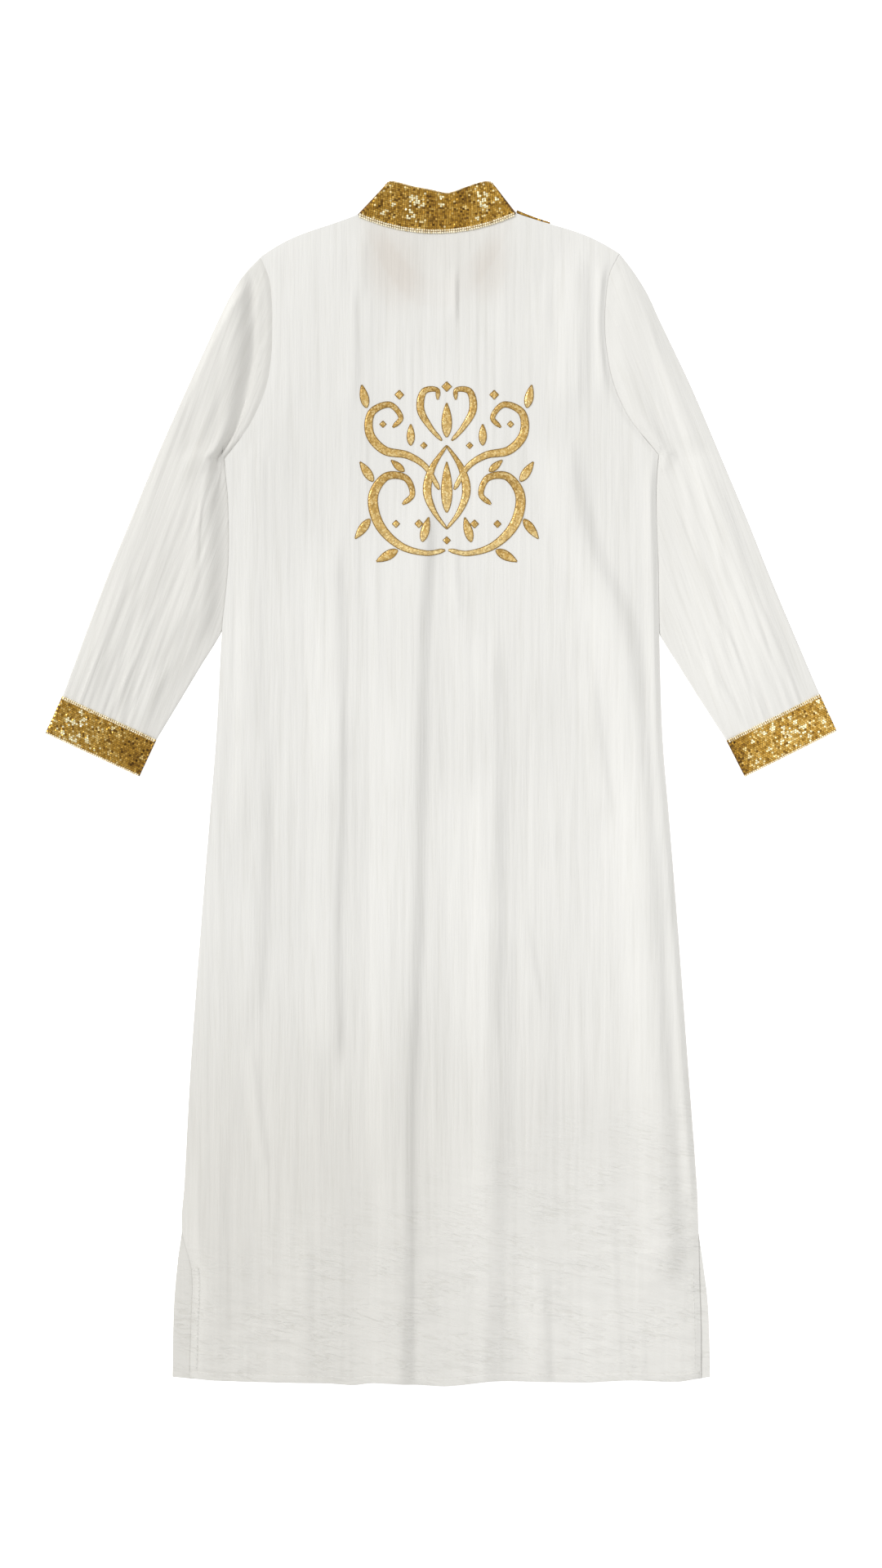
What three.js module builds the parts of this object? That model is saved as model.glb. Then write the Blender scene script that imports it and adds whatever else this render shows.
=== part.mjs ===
import * as THREE from 'three';

// An abaya laid flat on its front with the back up, in millimetres.
// X runs across the garment, Y runs up it towards the collar, and Z is up off the surface.

// Driving sizes of the cloth
const clothWall = 1.3;
const trimWall = 2.0;
const seamGap = 0.4;
const layerGap = 0.35;

// Driving sizes of the body, from the point below the collar's middle
const underarmLeft = 398;
const underarmRight = 403;
const shoulderLeft = { x: -221, y: 645 };
const shoulderRight = { x: 218, y: 649.5 };
const neckLeft = { x: -103, y: 696.5 };
const neckRight = { x: 93, y: 698 };
const shoulderBow = 6;
const backNeckDrop = 22;
const frontNeckDrop = 121;
const hemLevel = -732.5;
const hemWave = 3.5;
const frontSlitLength = 180;
const frontSlitHalfWidth = 1.2;

// The stand collar's top edge, flattened, with its two fold corners
const collarTopLeft = { x: -59.6, y: 736 };
const collarTopRight = { x: 56.6, y: 736 };
const collarTopDip = 14;
const collarHeight = 48;
const collarFoldRadius = 1.4;

// Armhole seams: share of the way from underarm to shoulder tip, then X of each seam
const armholeRows = [
  { share: 0, left: -265, right: 266 },
  { share: 0.1, left: -245.5, right: 245.5 },
  { share: 0.2, left: -230, right: 227.5 },
  { share: 0.35, left: -214.5, right: 211 },
  { share: 0.5, left: -208, right: 203 },
  { share: 0.65, left: -206.5, right: 200 },
  { share: 0.8, left: -207.5, right: 202 },
  { share: 0.9, left: -211, right: 206 },
  { share: 1, left: -221, right: 218 },
];

// Side edges above the slits, which front and back share
const sideRows = [
  { up: -545, left: -317, right: 315 },
  { up: -490, left: -314, right: 313 },
  { up: -340, left: -306, right: 302 },
  { up: -190, left: -295, right: 291 },
  { up: -40, left: -283, right: 279 },
  { up: 60, left: -275, right: 271 },
  { up: 188, left: -268, right: 267 },
  { up: 272, left: -260, right: 265.5 },
  { up: 347, left: -263, right: 265 },
  { up: 380, left: -265, right: 266 },
  { up: 403, left: -265, right: 266 },
];

// Below the slits the back draws in and the front spreads past it
const backSlitRows = [
  { up: -740, left: -308, right: 318 },
  { up: -665, left: -306, right: 318 },
  { up: -597, left: -305, right: 316 },
];
const frontSlitRows = [
  { up: -740, left: -329, right: 330 },
  { up: -640, left: -327, right: 327 },
  { up: -581, left: -322, right: 320 },
];

// Loose folds of the back: crest line from top to bottom, height, and how far each side runs out
const backFolds = [
  {
    name: 'long centre fold', height: 9, leftRun: 58, rightRun: 24,
    crest: [{ up: 330, x: -20 }, { up: 193, x: -30 }, { up: -111, x: -36 }, { up: -405, x: -46 },
      { up: -760, x: -52 }],
  },
  {
    name: 'left fold', height: 6, leftRun: 42, rightRun: 20,
    crest: [{ up: 280, x: -132 }, { up: 152, x: -128 }, { up: -10, x: -126 }, { up: -180, x: -132 },
      { up: -330, x: -130 }],
  },
  {
    name: 'right flank fold', height: 8, leftRun: 46, rightRun: 24,
    crest: [{ up: 400, x: 150 }, { up: 324, x: 158 }, { up: 263, x: 178 }, { up: 213, x: 203 },
      { up: 132, x: 219 }, { up: 0, x: 234 }, { up: -304, x: 254 }, { up: -600, x: 288 }],
  },
  {
    name: 'right middle fold', height: 4.5, leftRun: 52, rightRun: 32,
    crest: [{ up: 170, x: 62 }, { up: -100, x: 60 }, { up: -400, x: 58 }, { up: -760, x: 50 }],
  },
  {
    name: 'short flank fold', height: 3.5, leftRun: 28, rightRun: 16,
    crest: [{ up: 125, x: 180 }, { up: -20, x: 202 }],
  },
  {
    name: 'left hip fold', height: 3.5, leftRun: 36, rightRun: 24,
    crest: [{ up: 60, x: -205 }, { up: -120, x: -218 }, { up: -270, x: -226 }],
  },
  {
    name: 'right armhole fold', height: 4.5, leftRun: 30, rightRun: 20,
    crest: [{ up: 635, x: 170 }, { up: 480, x: 160 }],
  },
];
const foldEndRun = 70;
const backLoft = 1.2;
const seamLoft = 0.3;
const edgeRun = 42;

// Where the sleeve lies under the side of the body, the body rides over it
const rideHeight = 3.7;
const rideFull = 13;
const rideRun = 34;
const rideTopStart = 50;
const rideTopRun = 30;
const rideBottom = 186;
const rideBottomRun = 40;
const neckRide = 0.65;

// Sleeve edges: share of the way from armhole to cuff, then the outer and inner edge
const leftSleeveRows = [
  { along: 0, outerX: -221.5, outerY: 645, innerX: -265.5, innerY: 398 },
  { along: 0.04, outerX: -241, outerY: 624, innerX: -268, innerY: 384 },
  { along: 0.09, outerX: -258, outerY: 597, innerX: -268, innerY: 367 },
  { along: 0.15, outerX: -274, outerY: 564.5, innerX: -265.5, innerY: 346 },
  { along: 0.3, outerX: -311, outerY: 484, innerX: -256, innerY: 295 },
  { along: 0.45, outerX: -347, outerY: 403, innerX: -254, innerY: 243 },
  { along: 0.6, outerX: -380, outerY: 323, innerX: -266, innerY: 192 },
  { along: 0.75, outerX: -413, outerY: 242, innerX: -296.5, innerY: 140 },
  { along: 1, outerX: -463, outerY: 108, innerX: -348, innerY: 54.4 },
];
const rightSleeveRows = [
  { along: 0, outerX: 218.5, outerY: 649.5, innerX: 266.5, innerY: 403 },
  { along: 0.04, outerX: 235, outerY: 628, innerX: 269, innerY: 389 },
  { along: 0.09, outerX: 252, outerY: 601, innerX: 269, innerY: 371.5 },
  { along: 0.15, outerX: 267, outerY: 568.5, innerX: 267, innerY: 350.5 },
  { along: 0.3, outerX: 305.5, outerY: 487.5, innerX: 259, innerY: 298 },
  { along: 0.45, outerX: 340, outerY: 406.5, innerX: 255.5, innerY: 245.5 },
  { along: 0.6, outerX: 374, outerY: 325.5, innerX: 263.5, innerY: 193 },
  { along: 0.75, outerX: 406.5, outerY: 244.5, innerX: 293.4, innerY: 140.5 },
  { along: 1, outerX: 463, outerY: 110.4, innerX: 349, innerY: 53.4 },
];

// Folds along the sleeves: share of the width from the outer edge at each end, and their rise
const leftSleeveFolds = [
  { name: 'outer fold', atTop: 0.34, atCuff: 0.3, run: 0.16, height: 1.4 },
  { name: 'inner fold', atTop: 0.72, atCuff: 0.66, run: 0.12, height: 0.8 },
];
const rightSleeveFolds = [
  { name: 'outer fold', atTop: 0.2, atCuff: 0.24, run: 0.13, height: 1.4 },
  { name: 'inner fold', atTop: 0.6, atCuff: 0.62, run: 0.16, height: 0.8 },
];
const sleevePuff = 2.2;

// The rings of a sleeve leave the armhole's curve, then turn square to the inner edge at their end
const seamCurveRun = 0.1;
const seamCurveEase = 0.85;
const hookFirst = 8;
const hookFull = 36;
const hookRun = 0.3;
const straightFrom = 0.35;
const straightRun = 0.4;
const squareStart = 0.55;
const squareRun = 0.014;
const slopeStep = 0.01;
const sleeveShelf = 15;
const bodyShelf = 20;
const sleeveShelfRun = 40;
const foldedEdge = 3.5;

// Cuff corners: the seam to the sleeve, then the free edge
const leftCuff = {
  seamOuter: [-463.2, 107.6], seamInner: [-348.2, 54], freeOuter: [-484, 62.2], freeInner: [-369, 9.4],
};
const rightCuff = {
  seamOuter: [463.2, 110], seamInner: [349.2, 53], freeOuter: [484, 65], freeInner: [371.6, 9],
};
const cuffPuff = 1.3;

// The front's gold edging that shows past the right shoulder seam
const edging = { from: 95.5, to: 133, wideStart: 4.2, wideEnd: 1.4, wall: 1.5 };

// How finely the pieces are divided
const armholeSteps = 9;
const backEvenRows = 12;
const frontEvenRows = 6;
const backShoulderShares = [0, 0.1, 0.2, 0.3, 0.4, 0.5, 0.6, 0.7, 0.8, 0.9];
const frontShoulderShares = [0, 0.1, 0.27, 0.5, 0.75];
const backNeckSteps = 22;
const frontNeckSteps = 12;
const sleeveSteps = 17;
const sleeveStepPower = 1.5;
const cuffSteps = 4;
const cuffStations = 7;
const foldAngles = [-90, -30, 30, 90];

// Finish of each material
const crepe = new THREE.MeshStandardMaterial({ color: 0xebeae6, roughness: 0.85, metalness: 0 });
const goldSequin = new THREE.MeshStandardMaterial({ color: 0xb4883a, roughness: 0.35, metalness: 0.8 });

// Small helpers for blends and table look-ups

function mix(a, b, t) {
  return a + (b - a) * t;
}

function smooth(t) {
  const c = Math.min(Math.max(t, 0), 1);
  return c * c * (3 - 2 * c);
}

// A smooth curve through the rows of a table, held level past either end
function through(rows, key, at, column) {
  const last = rows.length - 1;
  if ((at - rows[0][key]) * (at - rows[last][key]) >= 0) {
    const nearer = Math.abs(at - rows[0][key]) < Math.abs(at - rows[last][key]) ? rows[0] : rows[last];
    return nearer[column];
  }
  const slope = (i) => {
    const a = rows[Math.max(i - 1, 0)];
    const b = rows[Math.min(i + 1, last)];
    return (b[column] - a[column]) / (b[key] - a[key]);
  };
  let i = 0;
  while ((at - rows[i + 1][key]) * (at - rows[i][key]) > 0) {
    i += 1;
  }
  const span = rows[i + 1][key] - rows[i][key];
  const t = (at - rows[i][key]) / span;
  const bend = t * (1 - t) * span;
  return mix(rows[i][column], rows[i + 1][column], t * t * (3 - 2 * t))
    + bend * ((1 - t) * slope(i) - t * slope(i + 1));
}

function span(a, b) {
  return Math.hypot(...a.map((value, c) => value - b[c]));
}

// A closed mesh from its corner points and triangles, turned so that its faces look outwards
function closedBody(points, triangles) {
  let volume = 0;
  for (const [a, b, c] of triangles) {
    const [p, q, r] = [points[a], points[b], points[c]];
    volume += p[0] * (q[1] * r[2] - q[2] * r[1])
      + p[1] * (q[2] * r[0] - q[0] * r[2])
      + p[2] * (q[0] * r[1] - q[1] * r[0]);
  }
  const outward = volume > 0 ? triangles : triangles.map(([a, b, c]) => [a, c, b]);
  const geometry = new THREE.BufferGeometry();
  geometry.setAttribute('position', new THREE.Float32BufferAttribute(points.flat(), 3));
  geometry.setIndex(outward.flat());
  geometry.computeVertexNormals();
  return geometry;
}

// A wall between two skins that share one grid, closed round its rim
function wallBody(columns, rows, upper, lower) {
  const points = [];
  for (const skin of [upper, lower]) {
    for (let j = 0; j <= rows; j += 1) {
      for (let i = 0; i <= columns; i += 1) {
        points.push(skin(i, j));
      }
    }
  }
  const under = (columns + 1) * (rows + 1);
  const at = (i, j) => j * (columns + 1) + i;
  const triangles = [];
  const face = (a, b, c, d) => triangles.push([a, b, c], [a, c, d]);
  for (let j = 0; j < rows; j += 1) {
    for (let i = 0; i < columns; i += 1) {
      const [a, b, c, d] = [at(i, j), at(i + 1, j), at(i + 1, j + 1), at(i, j + 1)];
      face(a, b, c, d);
      face(under + a, under + d, under + c, under + b);
    }
  }
  for (let i = 0; i < columns; i += 1) {
    face(under + at(i, 0), under + at(i + 1, 0), at(i + 1, 0), at(i, 0));
    face(at(i, rows), at(i + 1, rows), under + at(i + 1, rows), under + at(i, rows));
  }
  for (let j = 0; j < rows; j += 1) {
    face(at(0, j), at(0, j + 1), under + at(0, j + 1), under + at(0, j));
    face(under + at(columns, j), under + at(columns, j + 1), at(columns, j + 1), at(columns, j));
  }
  return closedBody(points, triangles);
}

// A tube wall through rings, open at both ends: ringAt gives the outer and inner loop of a ring,
// and each four-sided face is split along its shorter diagonal
function tubeBody(steps, power, ringAt) {
  const rings = [];
  for (let j = 0; j <= steps; j += 1) {
    rings.push(ringAt((j / steps) ** power));
  }
  const count = rings[0].outer.length;
  const points = rings.flatMap((ring) => [...ring.outer, ...ring.inner]);
  const outerAt = (j, k) => j * 2 * count + (k % count);
  const innerAt = (j, k) => outerAt(j, k) + count;
  const triangles = [];
  const face = (a, b, c, d) => triangles.push([a, b, c], [a, c, d]);
  for (let k = 0; k < count; k += 1) {
    for (let j = 0; j < steps; j += 1) {
      const round = [[j, k], [j, k + 1], [j + 1, k + 1], [j + 1, k]];
      const [a, b, c, d] = round.map(([step, station]) => points[outerAt(step, station)]);
      const start = span(a, c) <= span(b, d) ? 0 : 1;
      const turned = [...round.slice(start), ...round.slice(0, start)];
      face(...turned.map(([step, station]) => outerAt(step, station)));
      const back = [turned[0], turned[3], turned[2], turned[1]];
      face(...back.map(([step, station]) => innerAt(step, station)));
    }
    face(outerAt(0, k), innerAt(0, k), innerAt(0, k + 1), outerAt(0, k + 1));
    face(outerAt(steps, k), outerAt(steps, k + 1), innerAt(steps, k + 1), innerAt(steps, k));
  }
  return closedBody(points, triangles);
}

// Outlines of the body

function underarmAt(u) {
  return mix(underarmLeft, underarmRight, u);
}

function edgeX(side, y, slitRows) {
  const [base, tip] = side === 'left' ? [underarmLeft, shoulderLeft.y] : [underarmRight, shoulderRight.y];
  if (y > base) {
    return through(armholeRows, 'share', (y - base) / (tip - base), side);
  }
  return through([...slitRows, ...sideRows], 'up', y, side);
}

function neckX(s) {
  return mix(neckLeft.x, neckRight.x, (s + 1) / 2);
}

function neckY(s, drop) {
  return mix(neckLeft.y, neckRight.y, (s + 1) / 2) - drop * (1 - s * s);
}

function shoulderY(x) {
  const [tip, neck] = x < 0 ? [shoulderLeft, neckLeft] : [shoulderRight, neckRight];
  const p = (x - neck.x) / (tip.x - neck.x);
  return mix(neck.y, tip.y, p) + shoulderBow * Math.sin(Math.PI * p ** 1.6);
}

// Columns of a panel, each with its share of the width and its top
function panelColumns(neckStations, drop, shoulderShares, slitRows) {
  const columns = [];
  const width = shoulderRight.x - shoulderLeft.x;
  const shoulderColumn = (x) => ({ u: (x - shoulderLeft.x) / width, top: shoulderY(x) });
  for (const share of shoulderShares) {
    columns.push(shoulderColumn(mix(shoulderLeft.x, neckLeft.x, share)));
  }
  for (const s of neckStations) {
    const top = neckY(s, drop);
    const left = edgeX('left', top, slitRows);
    columns.push({ u: (neckX(s) - left) / (edgeX('right', top, slitRows) - left), top });
  }
  for (const share of [...shoulderShares].reverse()) {
    columns.push(shoulderColumn(mix(shoulderRight.x, neckRight.x, share)));
  }
  return columns;
}

// Shares of the way from hem to underarm for a panel's rows: even, then closer by the sleeves
function rowShares(evenRows) {
  const base = (underarmLeft + underarmRight) / 2;
  const foot = rideBottom - rideBottomRun;
  const thirds = [1 / 3, 2 / 3, 1];
  const levels = [
    ...Array.from({ length: evenRows + 1 }, (_, k) => mix(hemLevel, foot, k / evenRows)),
    ...thirds.map((t) => mix(foot, rideBottom, t)),
    ...thirds.map((t) => mix(rideBottom, base - rideTopRun, t)),
    base,
  ];
  return levels.map((level) => (level - hemLevel) / (base - hemLevel));
}

// A point of a panel in plan: rows run from the hem to the underarm, then on to the top
function panelPoint(column, row, shares, slitRows, hemRise) {
  const underarm = underarmAt(column.u);
  const hem = hemLevel + hemRise + hemWave * Math.sin(column.u * 30) + 7 * Math.abs(2 * column.u - 1) ** 8;
  const below = shares.length - 1;
  const y = row <= below
    ? mix(hem, underarm, shares[row])
    : mix(underarm, column.top, (row - below) / armholeSteps);
  const x = mix(edgeX('left', y, slitRows), edgeX('right', y, slitRows), column.u);
  return [x, y];
}

// How far both panels ride up where a sleeve lies under the side
function rideAt(x, y) {
  const side = x < 0 ? 'left' : 'right';
  const base = x < 0 ? underarmLeft : underarmRight;
  const inward = Math.abs(edgeX(side, y, backSlitRows)) - Math.abs(x);
  const across = 1 - smooth((inward - rideFull) / rideRun);
  const above = smooth((base + rideTopStart - y) / rideTopRun);
  const down = above * (1 - smooth((rideBottom - y) / rideBottomRun));
  return rideHeight * across * down;
}

function foldRise(fold, x, y) {
  const rows = fold.crest;
  const top = rows[0].up;
  const bottom = rows[rows.length - 1].up;
  const ends = smooth((top - y) / foldEndRun + 0.5) * smooth((y - bottom) / foldEndRun + 0.5);
  const offset = x - through(rows, 'up', y, 'x');
  const run = offset < 0 ? fold.leftRun : fold.rightRun;
  const across = Math.abs(offset) < run ? 0.5 + 0.5 * Math.cos(Math.PI * offset / run) : 0;
  return fold.height * ends * across;
}

// Lower skin of the back: on the front, over the sleeves and the collar's front, with its folds
function backLevel(x, y, top) {
  const side = x < 0 ? 'left' : 'right';
  const inward = Math.abs(edgeX(side, y, backSlitRows)) - Math.abs(x);
  const fade = smooth(inward / edgeRun) * smooth((top - y) / edgeRun);
  const folds = backFolds.map((fold) => foldRise(fold, x, y)).reduce((a, b) => a + b, 0);
  const neck = neckRide * smooth((y - 520) / 40) * smooth((150 - Math.abs(x + 5)) / 40);
  const ride = rideAt(x, y);
  return clothWall + layerGap + seamLoft + neck + 1.25 * ride + fade * (backLoft + folds);
}

function makeBackPanel() {
  const stations = Array.from({ length: backNeckSteps + 1 }, (_, k) => 2 * k / backNeckSteps - 1);
  const columns = panelColumns(stations, backNeckDrop, backShoulderShares, backSlitRows);
  const shares = rowShares(backEvenRows);
  const skin = (rise) => (i, j) => {
    const [x, y] = panelPoint(columns[i], j, shares, backSlitRows, 0);
    return [x, y, backLevel(x, y, columns[i].top) + rise];
  };
  return wallBody(columns.length - 1, shares.length - 1 + armholeSteps, skin(clothWall), skin(0));
}

// Stations round the front neckline, with the neck slit's two sides and foot at the middle
function frontNeckStations() {
  const slit = frontSlitHalfWidth / ((neckRight.x - neckLeft.x) / 2);
  const half = frontNeckSteps / 2;
  const side = Array.from({ length: half }, (_, k) => (k + 1) / half);
  return { slit, right: [slit, ...side] };
}

function makeFrontPanel() {
  const { right } = frontNeckStations();
  const stations = [...right.map((s) => -s).reverse(), 0, ...right];
  const columns = panelColumns(stations, frontNeckDrop, frontShoulderShares, frontSlitRows);
  const shares = rowShares(frontEvenRows);
  const middle = columns[frontShoulderShares.length + right.length];
  middle.top -= frontSlitLength;
  const skin = (rise) => (i, j) => {
    const [x, y] = panelPoint(columns[i], j, shares, frontSlitRows, 2.5);
    return [x, y, rideAt(x, y) + rise];
  };
  return wallBody(columns.length - 1, shares.length - 1 + armholeSteps, skin(clothWall), skin(0));
}

// The armhole seam as the straight runs between the panels' rows, at a share down from the tip
function armholePoint(side, t) {
  const tip = side === 'left' ? shoulderLeft : shoulderRight;
  const base = side === 'left' ? underarmLeft : underarmRight;
  const outward = side === 'left' ? -1 : 1;
  const at = (k) => {
    const share = k / armholeSteps;
    return [through(armholeRows, 'share', 1 - share, side), mix(tip.y, base, share)];
  };
  const k = Math.min(Math.floor(t * armholeSteps), armholeSteps - 1);
  const part = t * armholeSteps - k;
  const [a, b] = [at(k), at(k + 1)];
  return [mix(a[0], b[0], part) + outward * seamGap * 1.5, mix(a[1], b[1], part)];
}

// One flattened ring: it runs over the top from the outer edge, then back underneath
function flatRing([outerEdge, innerEdge], wall, over) {
  const edgeLevel = wall + 0.25;
  const spot = (edge, reach) => [0, 1].map((c) => edge.at[c] + edge.inward[c] * reach);
  const nearTop = 2 * wall + layerGap;
  const top = [
    { at: spot(outerEdge, foldedEdge), level: nearTop },
    ...over,
    { at: spot(innerEdge, foldedEdge), level: nearTop },
  ];
  const underneath = [...top].reverse();
  return {
    outer: [
      [...outerEdge.at, edgeLevel],
      ...top.map(({ at, level }) => [...at, level]),
      [...innerEdge.at, edgeLevel],
      ...underneath.map(({ at }) => [...at, 0]),
    ],
    inner: [
      [...spot(outerEdge, wall), edgeLevel],
      ...top.map(({ at, level }) => [...at, level - wall]),
      [...spot(innerEdge, wall), edgeLevel],
      ...underneath.map(({ at }) => [...at, wall]),
    ],
  };
}

function unitTowards(from, to) {
  const [dx, dy] = [to[0] - from[0], to[1] - from[1]];
  const length = Math.hypot(dx, dy);
  return [dx / length, dy / length];
}

// A direction swung by a share of the way from one to another
function swing(from, to, share) {
  const cross = from[0] * to[1] - from[1] * to[0];
  const start = Math.atan2(from[1], from[0]);
  const angle = start + share * Math.atan2(cross, from[0] * to[0] + from[1] * to[1]);
  return [Math.cos(angle), Math.sin(angle)];
}

// A set-in sleeve from the armhole to the cuff
function makeSleeve(side, rows, folds) {
  const stations = Array.from({ length: armholeSteps - 1 }, (_, k) => (k + 1) / armholeSteps);
  const lowest = 2 * clothWall + layerGap;
  const outward = side === 'left' ? -1 : 1;
  const [tip, base] = [armholePoint(side, 0), armholePoint(side, 1)];
  const edgeAt = (s, columns) => columns.map((column) => through(rows, 'along', s, column));
  const outerColumns = ['outerX', 'outerY'];
  const innerColumns = ['innerX', 'innerY'];

  // Inwards from an edge, square to the edge's own run, towards the side given for X
  const squareAt = (s, columns, towards) => {
    const along = unitTowards(edgeAt(s - slopeStep, columns), edgeAt(s + slopeStep, columns));
    const turn = Math.sign(-along[1] * towards);
    return [-along[1] * turn, along[0] * turn];
  };

  const ringAt = (s) => {
    const [outerEdge, innerEdge] = [edgeAt(s, outerColumns), edgeAt(s, innerColumns)];
    const width = Math.hypot(innerEdge[0] - outerEdge[0], innerEdge[1] - outerEdge[1]);
    const square = squareAt(s, innerColumns, outward);
    const turnAt = (share) => {
      const hook = mix(hookFirst, hookFull, smooth(share / hookRun));
      const straight = smooth((share - straightFrom) / straightRun);
      const [outer, inner] = [edgeAt(share, outerColumns), edgeAt(share, innerColumns)];
      const away = squareAt(share, innerColumns, outward);
      return [0, 1].map((c) => inner[c] + mix(away[c] * hook, (outer[c] - inner[c]) / armholeSteps, straight));
    };
    const [corner, firstCorner] = [turnAt(s), turnAt(0)];
    const planAt = (t) => {
      const seam = armholePoint(side, t);
      const along = t * armholeSteps / (armholeSteps - 1);
      const keep = Math.max(0, 1 - s / seamCurveRun / (1 - seamCurveEase * along ** 3)) ** 2;
      return [0, 1].map((c) => mix(outerEdge[c], corner[c], along)
        + keep * (seam[c] - mix(tip[c], firstCorner[c], along)));
    };
    const topAt = (t) => {
      const fromInner = (1 - t) * width;
      const fromOuter = t * width;
      const [x, y] = planAt(t);
      const clear = Math.abs(x) - Math.abs(edgeX(side, y, backSlitRows)) - bodyShelf;
      const puff = smooth((fromInner - sleeveShelf) / sleeveShelfRun) * smooth(fromOuter / 25);
      const ends = smooth(clear / sleeveShelfRun) * (1 - 0.4 * smooth((s - 0.85) / 0.15));
      const rise = folds.map((fold) => {
        const offset = (t - mix(fold.atTop, fold.atCuff, s)) / fold.run;
        return Math.abs(offset) < 1 ? fold.height * (0.5 + 0.5 * Math.cos(Math.PI * offset)) : 0;
      }).reduce((a, b) => a + b, 0);
      return lowest + seamLoft * smooth(fromInner / sleeveShelf) + puff * ends * (sleevePuff + rise);
    };
    const [first, last] = [stations[0], stations[stations.length - 1]].map(planAt);
    const outerShare = smooth(s / squareRun);
    const innerShare = mix(squareStart, 1, outerShare);
    const outerSquare = squareAt(s, outerColumns, -outward);
    const edges = [
      { at: outerEdge, inward: swing(unitTowards(outerEdge, first), outerSquare, outerShare) },
      { at: innerEdge, inward: swing(unitTowards(innerEdge, last), square, innerShare) },
    ];
    return flatRing(edges, clothWall, stations.map((t) => ({ at: planAt(t), level: topAt(t) })));
  };
  return tubeBody(sleeveSteps, sleeveStepPower, ringAt);
}

// A cuff, a short flattened tube that carries the sequins
function makeCuff(corners) {
  const stations = Array.from({ length: cuffStations }, (_, k) => (k + 1) / (cuffStations + 1));
  const ringAt = (s) => {
    const [outerEdge, innerEdge] = [['seamOuter', 'freeOuter'], ['seamInner', 'freeInner']]
      .map(([seam, free]) => [0, 1].map((c) => mix(corners[seam][c], corners[free][c], s)));
    const across = unitTowards(outerEdge, innerEdge);
    const edges = [{ at: outerEdge, inward: across }, { at: innerEdge, inward: across.map((v) => -v) }];
    return flatRing(edges, trimWall, stations.map((t) => ({
      at: [0, 1].map((c) => mix(outerEdge[c], innerEdge[c], t)),
      level: 2 * trimWall + seamGap + cuffPuff * Math.sin(Math.PI * t),
    })));
  };
  return tubeBody(cuffSteps, 1, ringAt);
}

// The stand collar: its front lies in the front's neckline, folds over at each side, and its
// back stands out above the back's neckline
function makeCollar() {
  const { slit, right } = frontNeckStations();
  const halfWidth = (neckRight.x - neckLeft.x) / 2;
  const foldInset = (collarFoldRadius + trimWall / 2 + seamGap) / halfWidth;
  const end = 1 - foldInset;
  const level = collarFoldRadius + trimWall / 2;
  const topX = (s) => mix(collarTopLeft.x, collarTopRight.x, (s / end + 1) / 2);
  const dip = (s) => 1 - (s / end) ** 2;
  const backAt = (s) => ({
    seam: [neckX(s), neckY(s, backNeckDrop) + seamGap],
    top: [topX(s), collarTopLeft.y - collarTopDip * dip(s)],
    angle: 90,
  });
  const frontAt = (s) => {
    const lean = Math.hypot(1, 2 * frontNeckDrop * s / halfWidth);
    const seam = [neckX(s), neckY(s, frontNeckDrop) + seamGap * lean];
    const free = frontNeckDrop + collarTopLeft.y - neckLeft.y - collarHeight;
    return { seam, top: [topX(s), collarTopLeft.y - free * dip(s)], angle: -90 };
  };
  const foldAt = (s) => foldAngles.map((angle) => ({ ...backAt(s), angle }));
  const frontRight = right.filter((s) => s < end).map(frontAt);
  const frontLeft = right.filter((s) => s < end).map((s) => frontAt(-s)).reverse();
  const backStations = Array.from({ length: 13 }, (_, k) => end * (1 - (k + 1) / 7)).filter((s) => s > -end);
  const sections = [
    ...frontRight,
    ...foldAt(end),
    ...backStations.map(backAt),
    ...foldAt(-end).reverse(),
    ...frontLeft,
  ];
  const skin = (outward) => (i, j) => {
    const { seam, top, angle } = sections[i];
    const [dx, dy] = [top[0] - seam[0], top[1] - seam[1]];
    const length = Math.hypot(dx, dy);
    const sideways = i < sections.length / 2 ? [dy / length, -dx / length] : [-dy / length, dx / length];
    const turn = THREE.MathUtils.degToRad(angle);
    const reach = collarFoldRadius + outward * trimWall / 2;
    const share = j / 2;
    return [
      mix(seam[0], top[0], share) + sideways[0] * reach * Math.cos(turn),
      mix(seam[1], top[1], share) + sideways[1] * reach * Math.cos(turn),
      level + reach * Math.sin(turn),
    ];
  };
  return wallBody(sections.length - 1, 2, skin(1), skin(-1));
}

// The tapered strip of gold edging beside the right shoulder seam
function makeShoulderEdging() {
  const steps = 5;
  const skin = (level) => (i, j) => {
    const share = i / steps;
    const x = mix(edging.from, edging.to, share);
    const wide = mix(edging.wideStart, edging.wideEnd, share);
    return [x, shoulderY(x) + seamGap + j * wide, level];
  };
  return wallBody(steps, 1, skin(edging.wall), skin(0));
}

// Each piece as a named mesh
const pieces = [
  ['front_panel', makeFrontPanel(), crepe],
  ['back_panel', makeBackPanel(), crepe],
  ['sleeve_left', makeSleeve('left', leftSleeveRows, leftSleeveFolds), crepe],
  ['sleeve_right', makeSleeve('right', rightSleeveRows, rightSleeveFolds), crepe],
  ['cuff_left', makeCuff(leftCuff), goldSequin],
  ['cuff_right', makeCuff(rightCuff), goldSequin],
  ['collar', makeCollar(), goldSequin],
  ['shoulder_edging', makeShoulderEdging(), goldSequin],
];

const group = new THREE.Group();
for (const [name, geometry, material] of pieces) {
  const mesh = new THREE.Mesh(geometry, material);
  mesh.name = name;
  group.add(mesh);
}

export default group;
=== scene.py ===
import math

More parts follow.
